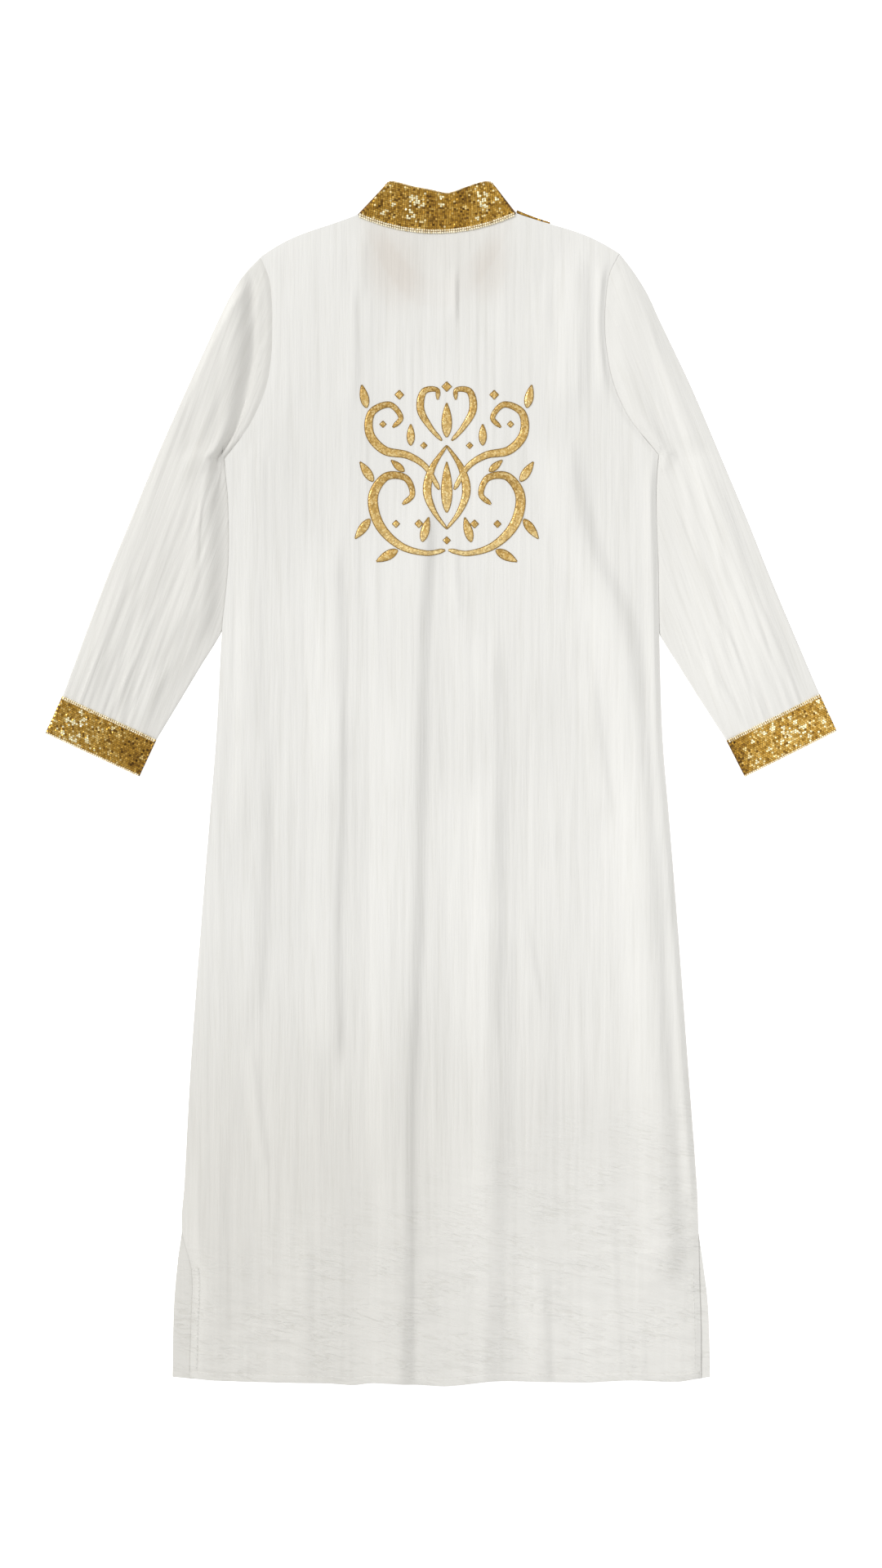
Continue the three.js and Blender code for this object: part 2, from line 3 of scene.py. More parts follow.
import bpy
import numpy as np
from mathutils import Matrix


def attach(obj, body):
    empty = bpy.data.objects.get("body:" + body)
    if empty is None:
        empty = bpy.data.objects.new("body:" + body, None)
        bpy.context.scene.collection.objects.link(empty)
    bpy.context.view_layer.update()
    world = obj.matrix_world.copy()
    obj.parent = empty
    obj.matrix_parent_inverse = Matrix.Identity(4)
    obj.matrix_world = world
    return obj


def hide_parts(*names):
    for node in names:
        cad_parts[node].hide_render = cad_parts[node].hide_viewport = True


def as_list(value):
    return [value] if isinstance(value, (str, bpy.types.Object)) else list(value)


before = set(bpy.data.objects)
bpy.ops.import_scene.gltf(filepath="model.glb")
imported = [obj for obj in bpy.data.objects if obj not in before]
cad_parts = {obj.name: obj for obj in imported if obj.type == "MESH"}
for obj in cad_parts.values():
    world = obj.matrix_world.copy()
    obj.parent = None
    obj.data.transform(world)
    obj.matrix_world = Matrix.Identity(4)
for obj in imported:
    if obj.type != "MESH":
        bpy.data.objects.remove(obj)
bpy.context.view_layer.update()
print("frame loaded")

# Sizes are in millimetres here, x across, y up to the collar, z up off the floor
metre = 0.001
rng = np.random.default_rng(56)


# small maths

def mix(a, b, t):
    return a + (b - a) * t


def smooth(t):
    c = np.clip(t, 0, 1)
    return c * c * (3 - 2 * c)


def through(rows, at, column=1):
    table = np.array(rows, float)
    if table[0, 0] > table[-1, 0]:
        table = table[::-1]
    keys, values = table[:, 0], table[:, column]
    slopes = np.empty(len(keys))
    slopes[1:-1] = (values[2:] - values[:-2]) / (keys[2:] - keys[:-2])
    slopes[0] = (values[1] - values[0]) / (keys[1] - keys[0])
    slopes[-1] = (values[-1] - values[-2]) / (keys[-1] - keys[-2])
    at = np.clip(at, keys[0], keys[-1])
    i = np.clip(np.searchsorted(keys, at, side="right") - 1, 0, len(keys) - 2)
    gap = keys[i + 1] - keys[i]
    t = (at - keys[i]) / gap
    bend = t * (1 - t) * gap * ((1 - t) * slopes[i] - t * slopes[i + 1])
    return mix(values[i], values[i + 1], t * t * (3 - 2 * t)) + bend


def lattice(x, y, sizeX, sizeY, seed):
    # smooth random relief between -1 and 1, with one value every sizeX by sizeY
    values = np.random.default_rng(seed).uniform(-1, 1, (257, 257))
    u, v = np.asarray(x) / sizeX + 90.5, np.asarray(y) / sizeY + 90.5
    i, j = np.floor(u).astype(int), np.floor(v).astype(int)
    s, t = smooth(u - i), smooth(v - j)
    i, j = i % 256, j % 256
    low = mix(values[i, j], values[i + 1, j], s)
    high = mix(values[i, j + 1], values[i + 1, j + 1], s)
    return mix(low, high, t)


def unit(v):
    return v / np.maximum(np.linalg.norm(v, axis=-1, keepdims=True), 1e-9)


def bell(offset, left, right):
    # a soft ridge of height 1 along a crest, with a run of its own to either side
    run = np.where(offset < 0, left, right)
    return np.where(np.abs(offset) < run, 0.5 + 0.5 * np.cos(np.pi * np.clip(offset / run, -1, 1)), 0)


def lengthAlong(line):
    return np.concatenate([[0], np.cumsum(np.linalg.norm(np.diff(line, axis=0), axis=1))])


def pointsAlong(line, marks):
    # the points of a line at these lengths from its start
    run = lengthAlong(line)
    return np.stack([np.interp(marks, run, line[:, 0]), np.interp(marks, run, line[:, 1])], -1)


# meshes

def gridFaces(rows, columns, start=0, flip=False):
    r, c = np.meshgrid(np.arange(rows - 1), np.arange(columns - 1), indexing="ij")
    a = start + r * columns + c
    quads = np.stack([a, a + 1, a + columns + 1, a + columns], -1).reshape(-1, 4)
    return quads[:, ::-1] if flip else quads


def shellMesh(top, bottom):
    # a thin closed sheet between two grids
    rows, columns = top.shape[:2]
    count = rows * columns
    index = np.arange(count).reshape(rows, columns)
    loop = np.concatenate([index[0], index[1:, -1], index[-1, -2::-1], index[-2:0:-1, 0]])
    after = np.roll(loop, -1)
    rim = np.stack([loop, loop + count, after + count, after], -1)
    points = np.concatenate([top.reshape(-1, 3), bottom.reshape(-1, 3)])
    faces = np.concatenate([gridFaces(rows, columns), gridFaces(rows, columns, count, True), rim])
    return points, faces


def ringFaces(rings, count):
    # quads between closed rings of count points each
    j, k = np.meshgrid(np.arange(rings - 1), np.arange(count), indexing="ij")
    a, b = j * count + k, j * count + (k + 1) % count
    return np.stack([a, b, b + count, a + count], -1).reshape(-1, 4)


def tubeMesh(outer, inner):
    # a thin closed tube wall, rings by stations round each ring
    rings, count = outer.shape[:2]
    skin = ringFaces(rings, count)
    total = rings * count
    k = np.arange(count)
    after = (k + 1) % count
    last = (rings - 1) * count
    first = np.stack([k, k + total, after + total, after], -1)
    end = np.stack([last + k, last + after, last + after + total, last + k + total], -1)
    points = np.concatenate([outer.reshape(-1, 3), inner.reshape(-1, 3)])
    return points, np.concatenate([skin, skin[:, ::-1] + total, first, end])


def facesOutward(points, faces):
    p = points[faces]
    volume = np.einsum("ij,ij->i", p[:, 0], np.cross(p[:, 1], p[:, 2])).sum()
    if faces.shape[1] == 4:
        volume += np.einsum("ij,ij->i", p[:, 0], np.cross(p[:, 2], p[:, 3])).sum()
    return faces if volume > 0 else faces[:, ::-1]


def addPiece(name, points, faces, material, values=None, sharp=45, node=None):
    mesh = bpy.data.meshes.new(name)
    mesh.from_pydata((points * metre).tolist(), [], facesOutward(points, faces).tolist())
    for key, data in (values or {}).items():
        vector = data.ndim == 2
        layer = mesh.attributes.new(key, "FLOAT_VECTOR" if vector else "FLOAT", "POINT")
        layer.data.foreach_set("vector" if vector else "value", data.astype(np.float32).ravel())
    mesh.polygons.foreach_set("use_smooth", [True] * len(mesh.polygons))
    mesh.set_sharp_from_angle(angle=math.radians(sharp))
    mesh.materials.append(material)
    piece = bpy.data.objects.new(name, mesh)
    bpy.context.scene.collection.objects.link(piece)
    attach(piece, "root")
    if node:
        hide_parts(node)
    return piece


def scatter(points, faces, centres, axes, scale):
    # copies of one small form: axes holds three unit vectors for each copy
    local = points[None, :, :] * scale[:, None, :]
    placed = np.einsum("nmk,nkc->nmc", local, axes) + centres[:, None, :]
    shift = np.arange(len(centres))[:, None, None] * len(points)
    return placed.reshape(-1, 3), (faces[None] + shift).reshape(-1, faces.shape[1])


def tiltedAxes(tiltX, tiltY):
    up = unit(np.stack([tiltX, tiltY, np.ones_like(tiltX)], -1))
    along = unit(np.stack([np.ones_like(tiltX), np.zeros_like(tiltX), -tiltX], -1))
    return np.stack([along, np.cross(up, along), up], 1)


def roundAxes(direction):
    along = unit(np.concatenate([direction, np.zeros((len(direction), 1))], 1))
    up = np.tile([0.0, 0.0, 1.0], (len(direction), 1))
    return np.stack([along, np.cross(up, along), up], 1)


def beadForm():
    # a ball of radius 1 from three rings of six points and two poles
    points = [(0, 0, 1)]
    for level in (0.62, 0, -0.62):
        ring = math.sqrt(1 - level * level)
        for k in range(6):
            points.append((ring * math.cos(k * math.pi / 3), ring * math.sin(k * math.pi / 3), level))
    points.append((0, 0, -1))
    faces = [(0, 1 + k, 1 + (k + 1) % 6) for k in range(6)]
    for level in (0, 1):
        for k in range(6):
            a, b = 1 + level * 6 + k, 1 + level * 6 + (k + 1) % 6
            faces += [(a, a + 6, b + 6), (a, b + 6, b)]
    faces += [(19, 13 + (k + 1) % 6, 13 + k) for k in range(6)]
    return np.array(points, float), np.array(faces)


def discForm(sides, dish):
    # a cupped disc of radius 1 and thickness 1
    angle = np.arange(sides) * 2 * math.pi / sides
    ring = np.stack([np.cos(angle), np.sin(angle)], -1)
    points = [(0, 0, 1 - dish), (0, 0, -dish)]
    points += [(x, y, 1) for x, y in ring] + [(x, y, 0) for x, y in ring]
    faces = []
    for k in range(sides):
        n = (k + 1) % sides
        top, nextTop, low, nextLow = 2 + k, 2 + n, 2 + sides + k, 2 + sides + n
        faces += [(0, top, nextTop), (1, nextLow, low), (top, low, nextLow), (top, nextLow, nextTop)]
    return np.array(points, float), np.array(faces)


# materials

def linear(text):
    parts = [int(text[i:i + 2], 16) / 255 for i in (1, 3, 5)]
    return tuple(c / 12.92 if c <= 0.04045 else ((c + 0.055) / 1.055) ** 2.4 for c in parts) + (1.0,)


def setInputs(tree, node, inputs):
    # a socket is linked, a node is linked from its first output, and anything else is set
    for key, value in inputs.items():
        if isinstance(value, bpy.types.Node):
            value = value.outputs[0]
        if isinstance(value, bpy.types.NodeSocket):
            tree.links.new(value, node.inputs[key])
        else:
            node.inputs[key].default_value = value


def addNode(tree, kind, inputs=None, stops=(), **settings):
    # one node with its settings, its links and, where it is a ramp, its colours
    made = tree.nodes.new("ShaderNode" + kind)
    for key, value in settings.items():
        setattr(made, key, value)
    setInputs(tree, made, inputs or {})
    if stops:
        elements = made.color_ramp.elements
        while len(elements) < len(stops):
            elements.new(0.5)
        for element, (place, colour) in zip(elements, stops):
            element.position = place
            element.color = linear(colour)
    return made


def newMaterial(name):
    material = bpy.data.materials.new(name)
    material.use_nodes = True
    tree = material.node_tree
    return material, tree, tree.nodes["Principled BSDF"]


def cells(across, along):
    # the scale that gives a pattern one cell every across by along millimetres
    return (1000 / across, 1000 / along, 1000 / across)


def crepeMaterial():
    # white crinkle crepe: matt cloth whose fine long crinkles catch the side light
    material, tree, shader = newMaterial("white crinkle crepe, woven polyester")
    grain = addNode(tree, "Attribute", attribute_name="grain").outputs["Vector"]
    low, paintedShade, seenThroughShade = [
        addNode(tree, "Attribute", attribute_name=name).outputs["Fac"] for name in ("low", "paintedShade", "seenThroughShade")
    ]
    turned = addNode(tree, "Mapping", {"Vector": grain, "Rotation": (0, 0, 0.24)})
    # each pattern: what it runs along, its cell across and along in mm, detail, roughness, distortion;
    # the real weave is finer than a pixel, so its grain is drawn at 0.9 mm
    patterns = {
        "fine": (grain, 3.6, 90, 3, 0.55, 0.25), "broad": (grain, 8.5, 160, 2, 0.5, 0.2),
        "slant": (turned, 20, 4.6, 2, 0.6, 1.1), "patches": (grain, 55, 40, 1, 0.5, 0),
        "weave": (grain, 0.9, 0.9, 1, 0.5, 0), "clouds": (grain, 160, 260, 2, 0.5, 0),
    }
    drawn = {}
    for name, (vector, across, along, detail, rough, distort) in patterns.items():
        place = addNode(tree, "Mapping", {"Vector": vector, "Scale": cells(across, along)})
        drawn[name] = addNode(tree, "TexNoise", {
            "Vector": place, "Scale": 1.0, "Detail": detail, "Roughness": rough, "Distortion": distort,
        })
    # long crinkles everywhere, and short slanting ones in patches where the low share grows
    long = addNode(tree, "Math", {0: drawn["fine"], 1: drawn["broad"]}, operation="ADD")
    short = addNode(tree, "Math", {0: drawn["slant"], 1: 4.0, 2: -1.0}, operation="MULTIPLY_ADD")
    patches = addNode(tree, "ValToRGB", {"Fac": drawn["patches"]}, [(0.35, "#7d7d7d"), (0.65, "#ffffff")])
    short = addNode(tree, "Mix", {0: patches, 2: 1.0, 3: short}, data_type="FLOAT")
    share = addNode(tree, "Math", {0: low, 1: 0.75}, operation="MULTIPLY")
    crinkle = addNode(tree, "Mix", {0: share, 2: long, 3: short}, data_type="FLOAT")
    normal = addNode(tree, "Bump", {"Height": crinkle, "Strength": 0.62, "Distance": 0.9 * metre})
    normal = addNode(tree, "Bump", {
        "Height": drawn["weave"], "Strength": 0.25, "Distance": 0.12 * metre, "Normal": normal,
    })
    # painted shade: the grooves are drawn a little greyer, and so are the crumpled lower left and the neck;
    # the collar's front under the sheer back is painted in as a darker tint, for the light through the cloth
    # and the shade beneath it
    cloth = addNode(tree, "ValToRGB", {"Fac": drawn["clouds"]}, [(0.3, "#d1d0cc"), (0.7, "#d7d6d2")])
    paintedGrooveShade = addNode(tree, "ValToRGB", {"Fac": crinkle}, [(0.55, "#e6e5e0"), (1.0, "#ffffff")])
    depth = addNode(tree, "Mix", {0: low, 2: 0.3, 3: 0.32}, data_type="FLOAT")
    for factor, over, kind in (
        (depth, paintedGrooveShade, "MULTIPLY"), (paintedShade, linear("#f5f4f2"), "MULTIPLY"), (seenThroughShade, linear("#bfb6ac"), "MIX"),
    ):
        cloth = addNode(
            tree, "Mix", {0: factor, 6: cloth, 7: over}, data_type="RGBA", blend_type=kind,
        ).outputs[2]
    setInputs(tree, shader, {
        "Base Color": cloth, "Normal": normal, "Roughness": 0.82, "IOR": 1.5, "Sheen Weight": 0.12,
        "Sheen Roughness": 0.5,
    })
    return material


def threadMaterial():
    # white sewing thread of the hems, a little brighter and smoother than the cloth
    material, tree, shader = newMaterial("white polyester sewing thread, twisted")
    place = addNode(tree, "TexCoord").outputs["Object"]
    place = addNode(tree, "Mapping", {"Vector": place, "Scale": cells(0.8, 0.8)})
    twist = addNode(tree, "TexNoise", {"Vector": place, "Scale": 1.0, "Detail": 1})
    shade = addNode(tree, "ValToRGB", {"Fac": twist}, [(0.3, "#cfcec9"), (0.7, "#dddcd8")])
    setInputs(tree, shader, {"Base Color": shade, "Roughness": 0.55, "IOR": 1.5})
    return material


# from the dark side of a sequin to its flash
sequinStops = [
    (0.0, "#4a3210"), (0.22, "#7d5a20"), (0.5, "#b48832"), (0.72, "#cda653"), (0.88, "#ecd08a"),
    (1.0, "#fff2c4"),
]


def sequinMaterial():
    # metallised plastic sequins: each one mirrors the room by its own tilt, and its colour carries a painted
    # reflection from its dark side to its flash
    material, tree, shader = newMaterial("gold sequins, metallised film punched out")
    flake = addNode(tree, "Attribute", attribute_name="flake").outputs["Fac"]
    place = addNode(tree, "TexCoord").outputs["Object"]
    place = addNode(tree, "Mapping", {"Vector": place, "Scale": cells(1.1, 1.1)})
    wear = addNode(tree, "TexNoise", {"Vector": place, "Scale": 1.0, "Detail": 2})
    setInputs(tree, shader, {
        "Base Color": addNode(tree, "ValToRGB", {"Fac": flake}, sequinStops),
        "Roughness": addNode(tree, "MapRange", {"Value": wear, "To Min": 0.22, "To Max": 0.42}),
        "Normal": addNode(tree, "Bump", {"Height": wear, "Strength": 0.3, "Distance": 0.1 * metre}),
        "Metallic": 0.85,
    })
    return material


def groundMaterial():
    # the net that the sequins are sewn to, with their rows drawn in the gaps
    material, tree, shader = newMaterial("gold net ground, knitted and sequin covered")
    place = addNode(tree, "TexCoord").outputs["Object"]
    place = addNode(tree, "Mapping", {"Vector": place, "Scale": cells(2.4, 2.4)})
    rows = addNode(tree, "TexVoronoi", {"Vector": place, "Scale": 1.0}).outputs["Distance"]
    setInputs(tree, shader, {
        "Base Color": addNode(tree, "ValToRGB", {"Fac": rows}, [(0.1, "#93692a"), (0.6, "#4d3513")]),
        "Normal": addNode(tree, "Bump", {"Height": rows, "Strength": 0.6, "Distance": 0.5 * metre}),
        "Roughness": 0.4, "Metallic": 0.6,
    })
    return material


def beadMaterial():
    # pale gold seed beads: glossy, with a cream body
    material, tree, shader = newMaterial("pale gold seed beads, lustred glass")
    flake = addNode(tree, "Attribute", attribute_name="flake").outputs["Fac"]
    place = addNode(tree, "TexCoord").outputs["Object"]
    place = addNode(tree, "Mapping", {"Vector": place, "Scale": cells(1.5, 1.5)})
    wear = addNode(tree, "TexNoise", {"Vector": place, "Scale": 1.0, "Detail": 1})
    shade = addNode(tree, "ValToRGB", {"Fac": flake}, [(0.0, "#8f7546"), (0.45, "#cdb98c"), (1.0, "#f2e7c9")])
    setInputs(tree, shader, {
        "Base Color": shade, "Metallic": 0.35,
        "Roughness": addNode(tree, "MapRange", {"Value": wear, "To Min": 0.2, "To Max": 0.4}),
    })
    return material


def goldThreadMaterial():
    # raised metallic thread with a glitter of small cut beads in it
    material, tree, shader = newMaterial("gold metallic thread, satin stitched and beaded")
    grain = addNode(tree, "Attribute", attribute_name="grain").outputs["Vector"]
    flake = addNode(tree, "Attribute", attribute_name="flake").outputs["Fac"]
    # the threads are 0.4 mm wide and drawn at 1 mm so that they show
    place = addNode(tree, "Mapping", {"Vector": grain, "Scale": cells(14, 1.0)})
    threads = addNode(tree, "TexNoise", {"Vector": place, "Scale": 1.0, "Detail": 2})
    place = addNode(tree, "Mapping", {"Vector": grain, "Scale": cells(1.9, 1.9)})
    grit = addNode(tree, "TexVoronoi", {"Vector": place, "Scale": 1.0})
    sparkle = addNode(tree, "ValToRGB", {"Fac": grit.outputs["Color"]}, [
        (0.15, "#6f5220"), (0.5, "#c09a4c"), (0.85, "#f6e6ae"),
    ])
    body = addNode(tree, "ValToRGB", {"Fac": flake}, [(0.0, "#a07a38"), (0.5, "#c8a25a"), (1.0, "#e4cc92")])
    body = addNode(tree, "Mix", {0: 0.45, 6: body, 7: sparkle}, data_type="RGBA").outputs[2]
    normal = addNode(tree, "Bump", {"Height": threads, "Strength": 0.4, "Distance": 0.3 * metre})
    normal = addNode(tree, "Bump", {
        "Height": grit.outputs["Distance"], "Strength": 0.5, "Distance": 0.5 * metre, "Normal": normal,
    })
    setInputs(tree, shader, {"Base Color": body, "Normal": normal, "Metallic": 0.45, "Roughness": 0.38})
    return material


def cordMaterial():
    # dark antique gold cord round each motif
    material, tree, shader = newMaterial("antique gold cord, twisted metallic thread")
    grain = addNode(tree, "Attribute", attribute_name="grain").outputs["Vector"]
    place = addNode(tree, "Mapping", {"Vector": grain, "Scale": cells(1.4, 1.4)})
    twist = addNode(tree, "TexNoise", {"Vector": place, "Scale": 1.0, "Detail": 2})
    setInputs(tree, shader, {
        "Base Color": addNode(tree, "ValToRGB", {"Fac": twist}, [(0.3, "#5d4418"), (0.7, "#a8853f")]),
        "Normal": addNode(tree, "Bump", {"Height": twist, "Strength": 0.5, "Distance": 0.3 * metre}),
        "Metallic": 0.4, "Roughness": 0.45,
    })
    return material


def floorMaterial():
    # a light table: its own glow drowns the shadows beside the garment
    material, tree, shader = newMaterial("white light table, matt acrylic")
    place = addNode(tree, "TexCoord").outputs["Object"]
    place = addNode(tree, "Mapping", {"Vector": place, "Scale": cells(400, 400)})
    speck = addNode(tree, "TexNoise", {"Vector": place, "Scale": 1.0, "Detail": 1})
    setInputs(tree, shader, {
        "Base Color": addNode(tree, "ValToRGB", {"Fac": speck}, [(0.3, "#fbfbfb"), (0.7, "#fdfdfd")]),
        "Roughness": 0.9, "IOR": 1.49, "Emission Color": linear("#ffffff"), "Emission Strength": 0.5,
    })
    return material


crepe = crepeMaterial()
thread = threadMaterial()
sequin = sequinMaterial()
ground = groundMaterial()
bead = beadMaterial()
goldThread = goldThreadMaterial()
cordGold = cordMaterial()
print("materials ready")

# outline of the body, as it lies: in a pair of values or rows the left side comes first

outwardOf = (-1.0, 1.0)
cut = {
    "underarm": (398.0, 403.0), "tipX": (-221.0, 218.0), "tipY": (645.0, 649.5),
    "neckX": (-103.0, 93.0), "neckY": (696.5, 698.0), "shoulderBow": 6.0,
    "backNeckDrop": 22.0, "frontNeckDrop": 121.0,
    "cloth": 0.6, "layer": 1.3, "gap": 0.35, "frontHemRise": 1.2,
}
armholeRows = [
    (0, -265, 266), (0.1, -245.5, 245.5), (0.2, -230, 227.5), (0.35, -214.5, 211), (0.5, -208, 203),
    (0.65, -206.5, 200), (0.8, -207.5, 202), (0.9, -211, 206), (1, -221, 218),
]
sideRows = [
    (-545, -317, 315), (-490, -314, 313), (-340, -306, 302), (-190, -295, 291), (-40, -283, 279),
    (60, -275, 271), (188, -268, 267), (272, -260, 265.5), (347, -260.5, 263), (380, -263.5, 264),
    (403, -265, 266),
]
# the hem line: share from left to right, y
hemRows = [
    (0, -727), (0.045, -729.5), (0.18, -732), (0.27, -733), (0.32, -735), (0.36, -732.5), (0.45, -735),
    (0.5, -736.5), (0.545, -734), (0.59, -730.5), (0.68, -731), (0.77, -732), (0.86, -729.5), (0.955, -731),
    (1, -727),
]
backSlitRows = [(-740, -308, 318), (-665, -306, 318), (-597, -305, 316)]
frontSlitRows = [(-740, -329, 330), (-640, -327, 327), (-581, -322, 320)]


def edgeX(side, y, slitRows=backSlitRows):
    base, tip = cut["underarm"][side], cut["tipY"][side]
    upper = through(armholeRows, (y - base) / (tip - base), 1 + side)
    lower = through(slitRows + sideRows, y, 1 + side)
    return np.where(y > base, upper, lower)


def neckX(s):
    return mix(*cut["neckX"], (s + 1) / 2)


def neckY(s, drop):
    return mix(*cut["neckY"], (s + 1) / 2) - drop * (1 - s * s)


def shoulderY(x):
    side = (np.asarray(x) > 0).astype(int)
    tipX, tipY = np.array(cut["tipX"])[side], np.array(cut["tipY"])[side]
    endX, endY = np.array(cut["neckX"])[side], np.array(cut["neckY"])[side]
    p = np.clip((x - endX) / (tipX - endX), 0, 1)
    return mix(endY, tipY, p) + cut["shoulderBow"] * np.sin(np.pi * p ** 1.6)


def panelGrid(slitRows, neckDrop, shoulderSteps, neckSteps, belowSteps, aboveSteps, hemRise, slit=None):
    # plan points of a panel: rows from the hem to the underarm, then on to its top
    stations = np.linspace(-1, 1, neckSteps + 1)
    shares = np.linspace(0, 1, shoulderSteps + 1)[:-1]
    leftX = mix(cut["tipX"][0], cut["neckX"][0], shares)
    rightX = mix(cut["tipX"][1], cut["neckX"][1], shares)[::-1]
    width = cut["tipX"][1] - cut["tipX"][0]
    neckTop = neckY(stations, neckDrop)
    neckLeft, neckRight = edgeX(0, neckTop, slitRows), edgeX(1, neckTop, slitRows)
    u = np.concatenate([
        (leftX - cut["tipX"][0]) / width, (neckX(stations) - neckLeft) / (neckRight - neckLeft),
        (rightX - cut["tipX"][0]) / width,
    ])
    if slit:
        neckTop = neckTop - slit["length"] * np.maximum(0, 1 - np.abs(stations) / slit["half"])
    top = np.concatenate([shoulderY(leftX), neckTop, shoulderY(rightX)])
    underarm = mix(*cut["underarm"], u)
    hem = through(hemRows, u) + hemRise
    # closer rows in the lower third, where short wrinkles cross the long folds
    below = np.interp(np.linspace(0, 1, belowSteps + 1), [0, 0.5, 1], [0, 0.3, 1])[:, None]
    above = np.linspace(0, 1, aboveSteps + 1)[1:, None]
    y = np.concatenate([mix(hem, underarm, below), mix(underarm, top, above)])
    x = mix(edgeX(0, y, slitRows), edgeX(1, y, slitRows), u)
    return x, y, np.broadcast_to(top, y.shape)


# relief of the body

ride = {
    "height": 1.75, "full": 13, "run": 34, "topStart": 50, "topRun": 30, "bottom": 186, "bottomRun": 40,
    "back": -0.1, "inset": 3.4,
}


def rideAt(x, y):
    # both panels ride up where a sleeve lies under their side
    side = (x > 0).astype(int)
    base = np.array(cut["underarm"])[side]
    edge = np.where(side == 1, edgeX(1, y), edgeX(0, y))
    across = 1 - smooth((np.abs(edge) - np.abs(x) - ride["full"]) / ride["run"])
    above = smooth((base + ride["topStart"] - y) / ride["topRun"])
    down = above * (1 - smooth((ride["bottom"] - y) / ride["bottomRun"]))
    return ride["height"] * across * down


# each fold: crest from top to bottom as (y, x), height, run to its left and right, run of its ends
backFolds = [
    {"crest": [(330, -20), (193, -30), (51, -33), (-111, -36), (-253, -41), (-405, -46), (-557, -47),
               (-760, -52)],
     "height": 8.5, "left": 52, "right": 21, "ends": 80},
    {"crest": [(280, -132), (152, -128), (-10, -127), (-152, -132), (-330, -130)],
     "height": 5.5, "left": 42, "right": 15, "ends": 60},
    {"crest": [(400, 152), (324, 166), (263, 187), (213, 213), (132, 229), (0, 243), (-152, 254), (-304, 262),
               (-456, 271), (-600, 276)],
     "height": 8.5, "left": 44, "right": 26, "ends": 60},
    {"crest": [(170, 62), (-100, 60), (-400, 58), (-760, 50)],
     "height": 3.6, "left": 52, "right": 30, "ends": 80},
    {"crest": [(125, 184), (40, 194), (-30, 205)], "height": 2.6, "left": 24, "right": 10, "ends": 40},
    {"crest": [(60, -215), (-120, -222), (-270, -226)], "height": 3.4, "left": 30, "right": 16, "ends": 60},
    {"crest": [(640, 164), (560, 166), (470, 162)], "height": 5.5, "left": 36, "right": 22, "ends": 50},
    {"crest": [(285, 17), (210, 22)], "height": 2.0, "left": 16, "right": 8, "ends": 30},
    {"crest": [(-170, 103), (-262, 119)], "height": 2.2, "left": 20, "right": 9, "ends": 40},
    {"crest": [(160, 62), (-60, 66), (-310, 66)], "height": 1.4, "left": 26, "right": 10, "ends": 60},
    {"crest": [(672, -96), (600, -97)], "height": 1.7, "left": 16, "right": 8, "ends": 30},
    {"crest": [(596, -107), (540, -106), (470, -108)], "height": 1.8, "left": 18, "right": 8, "ends": 40},
    {"crest": [(620, 17), (571, 18)], "height": 3.2, "left": 14, "right": 4.6, "ends": 14},
    {"crest": [(600, 122), (520, 124)], "height": 2.0, "left": 12, "right": 26, "ends": 40},
    {"crest": [(400, -238), (250, -240), (60, -244), (-60, -250)],
     "height": 2.8, "left": 15, "right": 34, "ends": 60},
    {"crest": [(280, -78), (0, -74), (-250, -76), (-450, -78)],
     "height": 2.2, "left": 18, "right": 36, "ends": 70},
    {"crest": [(-10, 52), (-350, 58), (-720, 56)], "height": 3.0, "left": 26, "right": 40, "ends": 80},
    {"crest": [(-330, -232), (-380, -226), (-460, -216)], "height": 2.0, "left": 14, "right": 8, "ends": 30},
    {"crest": [(-560, -165), (-760, -163)], "height": 1.5, "left": 34, "right": 13, "ends": 80},
    {"crest": [(-590, 124), (-760, 126)], "height": 2.4, "left": 30, "right": 12, "ends": 80},
    {"crest": [(-480, 196), (-620, 214), (-700, 214)], "height": 0.9, "left": 24, "right": 11, "ends": 60},
    {"crest": [(380, 259), (272, 260.5), (188, 262), (60, 266), (-40, 273), (-190, 285), (-340, 296),
               (-500, 308)],
     "height": 3.4, "left": 16, "right": 7, "ends": 40},
    {"crest": [(640, 197), (560, 196), (480, 199)], "height": 2.6, "left": 11, "right": 6, "ends": 40},
    {"crest": [(-455, -290), (-540, -292), (-680, -294)],
     "height": 2.0, "left": 14, "right": 42, "ends": 110},
    {"crest": [(-400, -262), (-560, -270), (-680, -268)], "height": 1.0, "left": 22, "right": 14, "ends": 60},
]
# loft of the body and how it comes down to its edges; then the small wrinkles, each with its height and size
creases = {
    "backLoft": 1.2, "seamLoft": 0.3, "wrinkleLoft": 0.8, "edgeRun": (42, 8), "leftSlitRun": 19,
    "slitFrom": -400, "slitEase": 90, "dropFrom": -505, "dropEase": 60, "dropWide": 26, "slitDrop": 1.6,
    "edgeEase": (16, 0.25), "topEase": (14, 0.2), "middleX": -5, "frontTop": 675.0,
    "neckLoft": 0.65, "neckFrom": 520, "neckHalf": 150, "neckEase": 40,
    "broad": 0.6, "broadSize": (34, 230), "middle": 0.18, "middleSize": (12, 150),
    "fine": 0.4, "fineSize": (5, 110),
    "slant": 1.0, "slantSize": (26, 6.5), "slantTurn": 0.26, "slantLeast": 0.15,
    "patchSize": (60, 42), "patchEase": 0.9, "patchLeast": 0.5, "longLoss": 0.3,
    "lowFrom": -400, "lowLean": 0.35, "lowRun": 190,
    "foldHeight": 0.78, "waver": 0.22, "waverSize": (40, 90),
}


def foldRise(fold, x, y):
    rows = fold["crest"]
    ends = smooth((rows[0][0] - y) / fold["ends"] + 0.5) * smooth((y - rows[-1][0]) / fold["ends"] + 0.5)
    offset = x - through(rows, y)
    across = bell(offset, fold["left"], fold["right"])
    # a crest wavers a little in height along its length
    seed = int(abs(rows[0][0])) % 97
    waver = 1 + creases["waver"] * lattice(x * 0 + rows[0][1], y, *creases["waverSize"], seed)
    return creases["foldHeight"] * fold["height"] * ends * across * waver


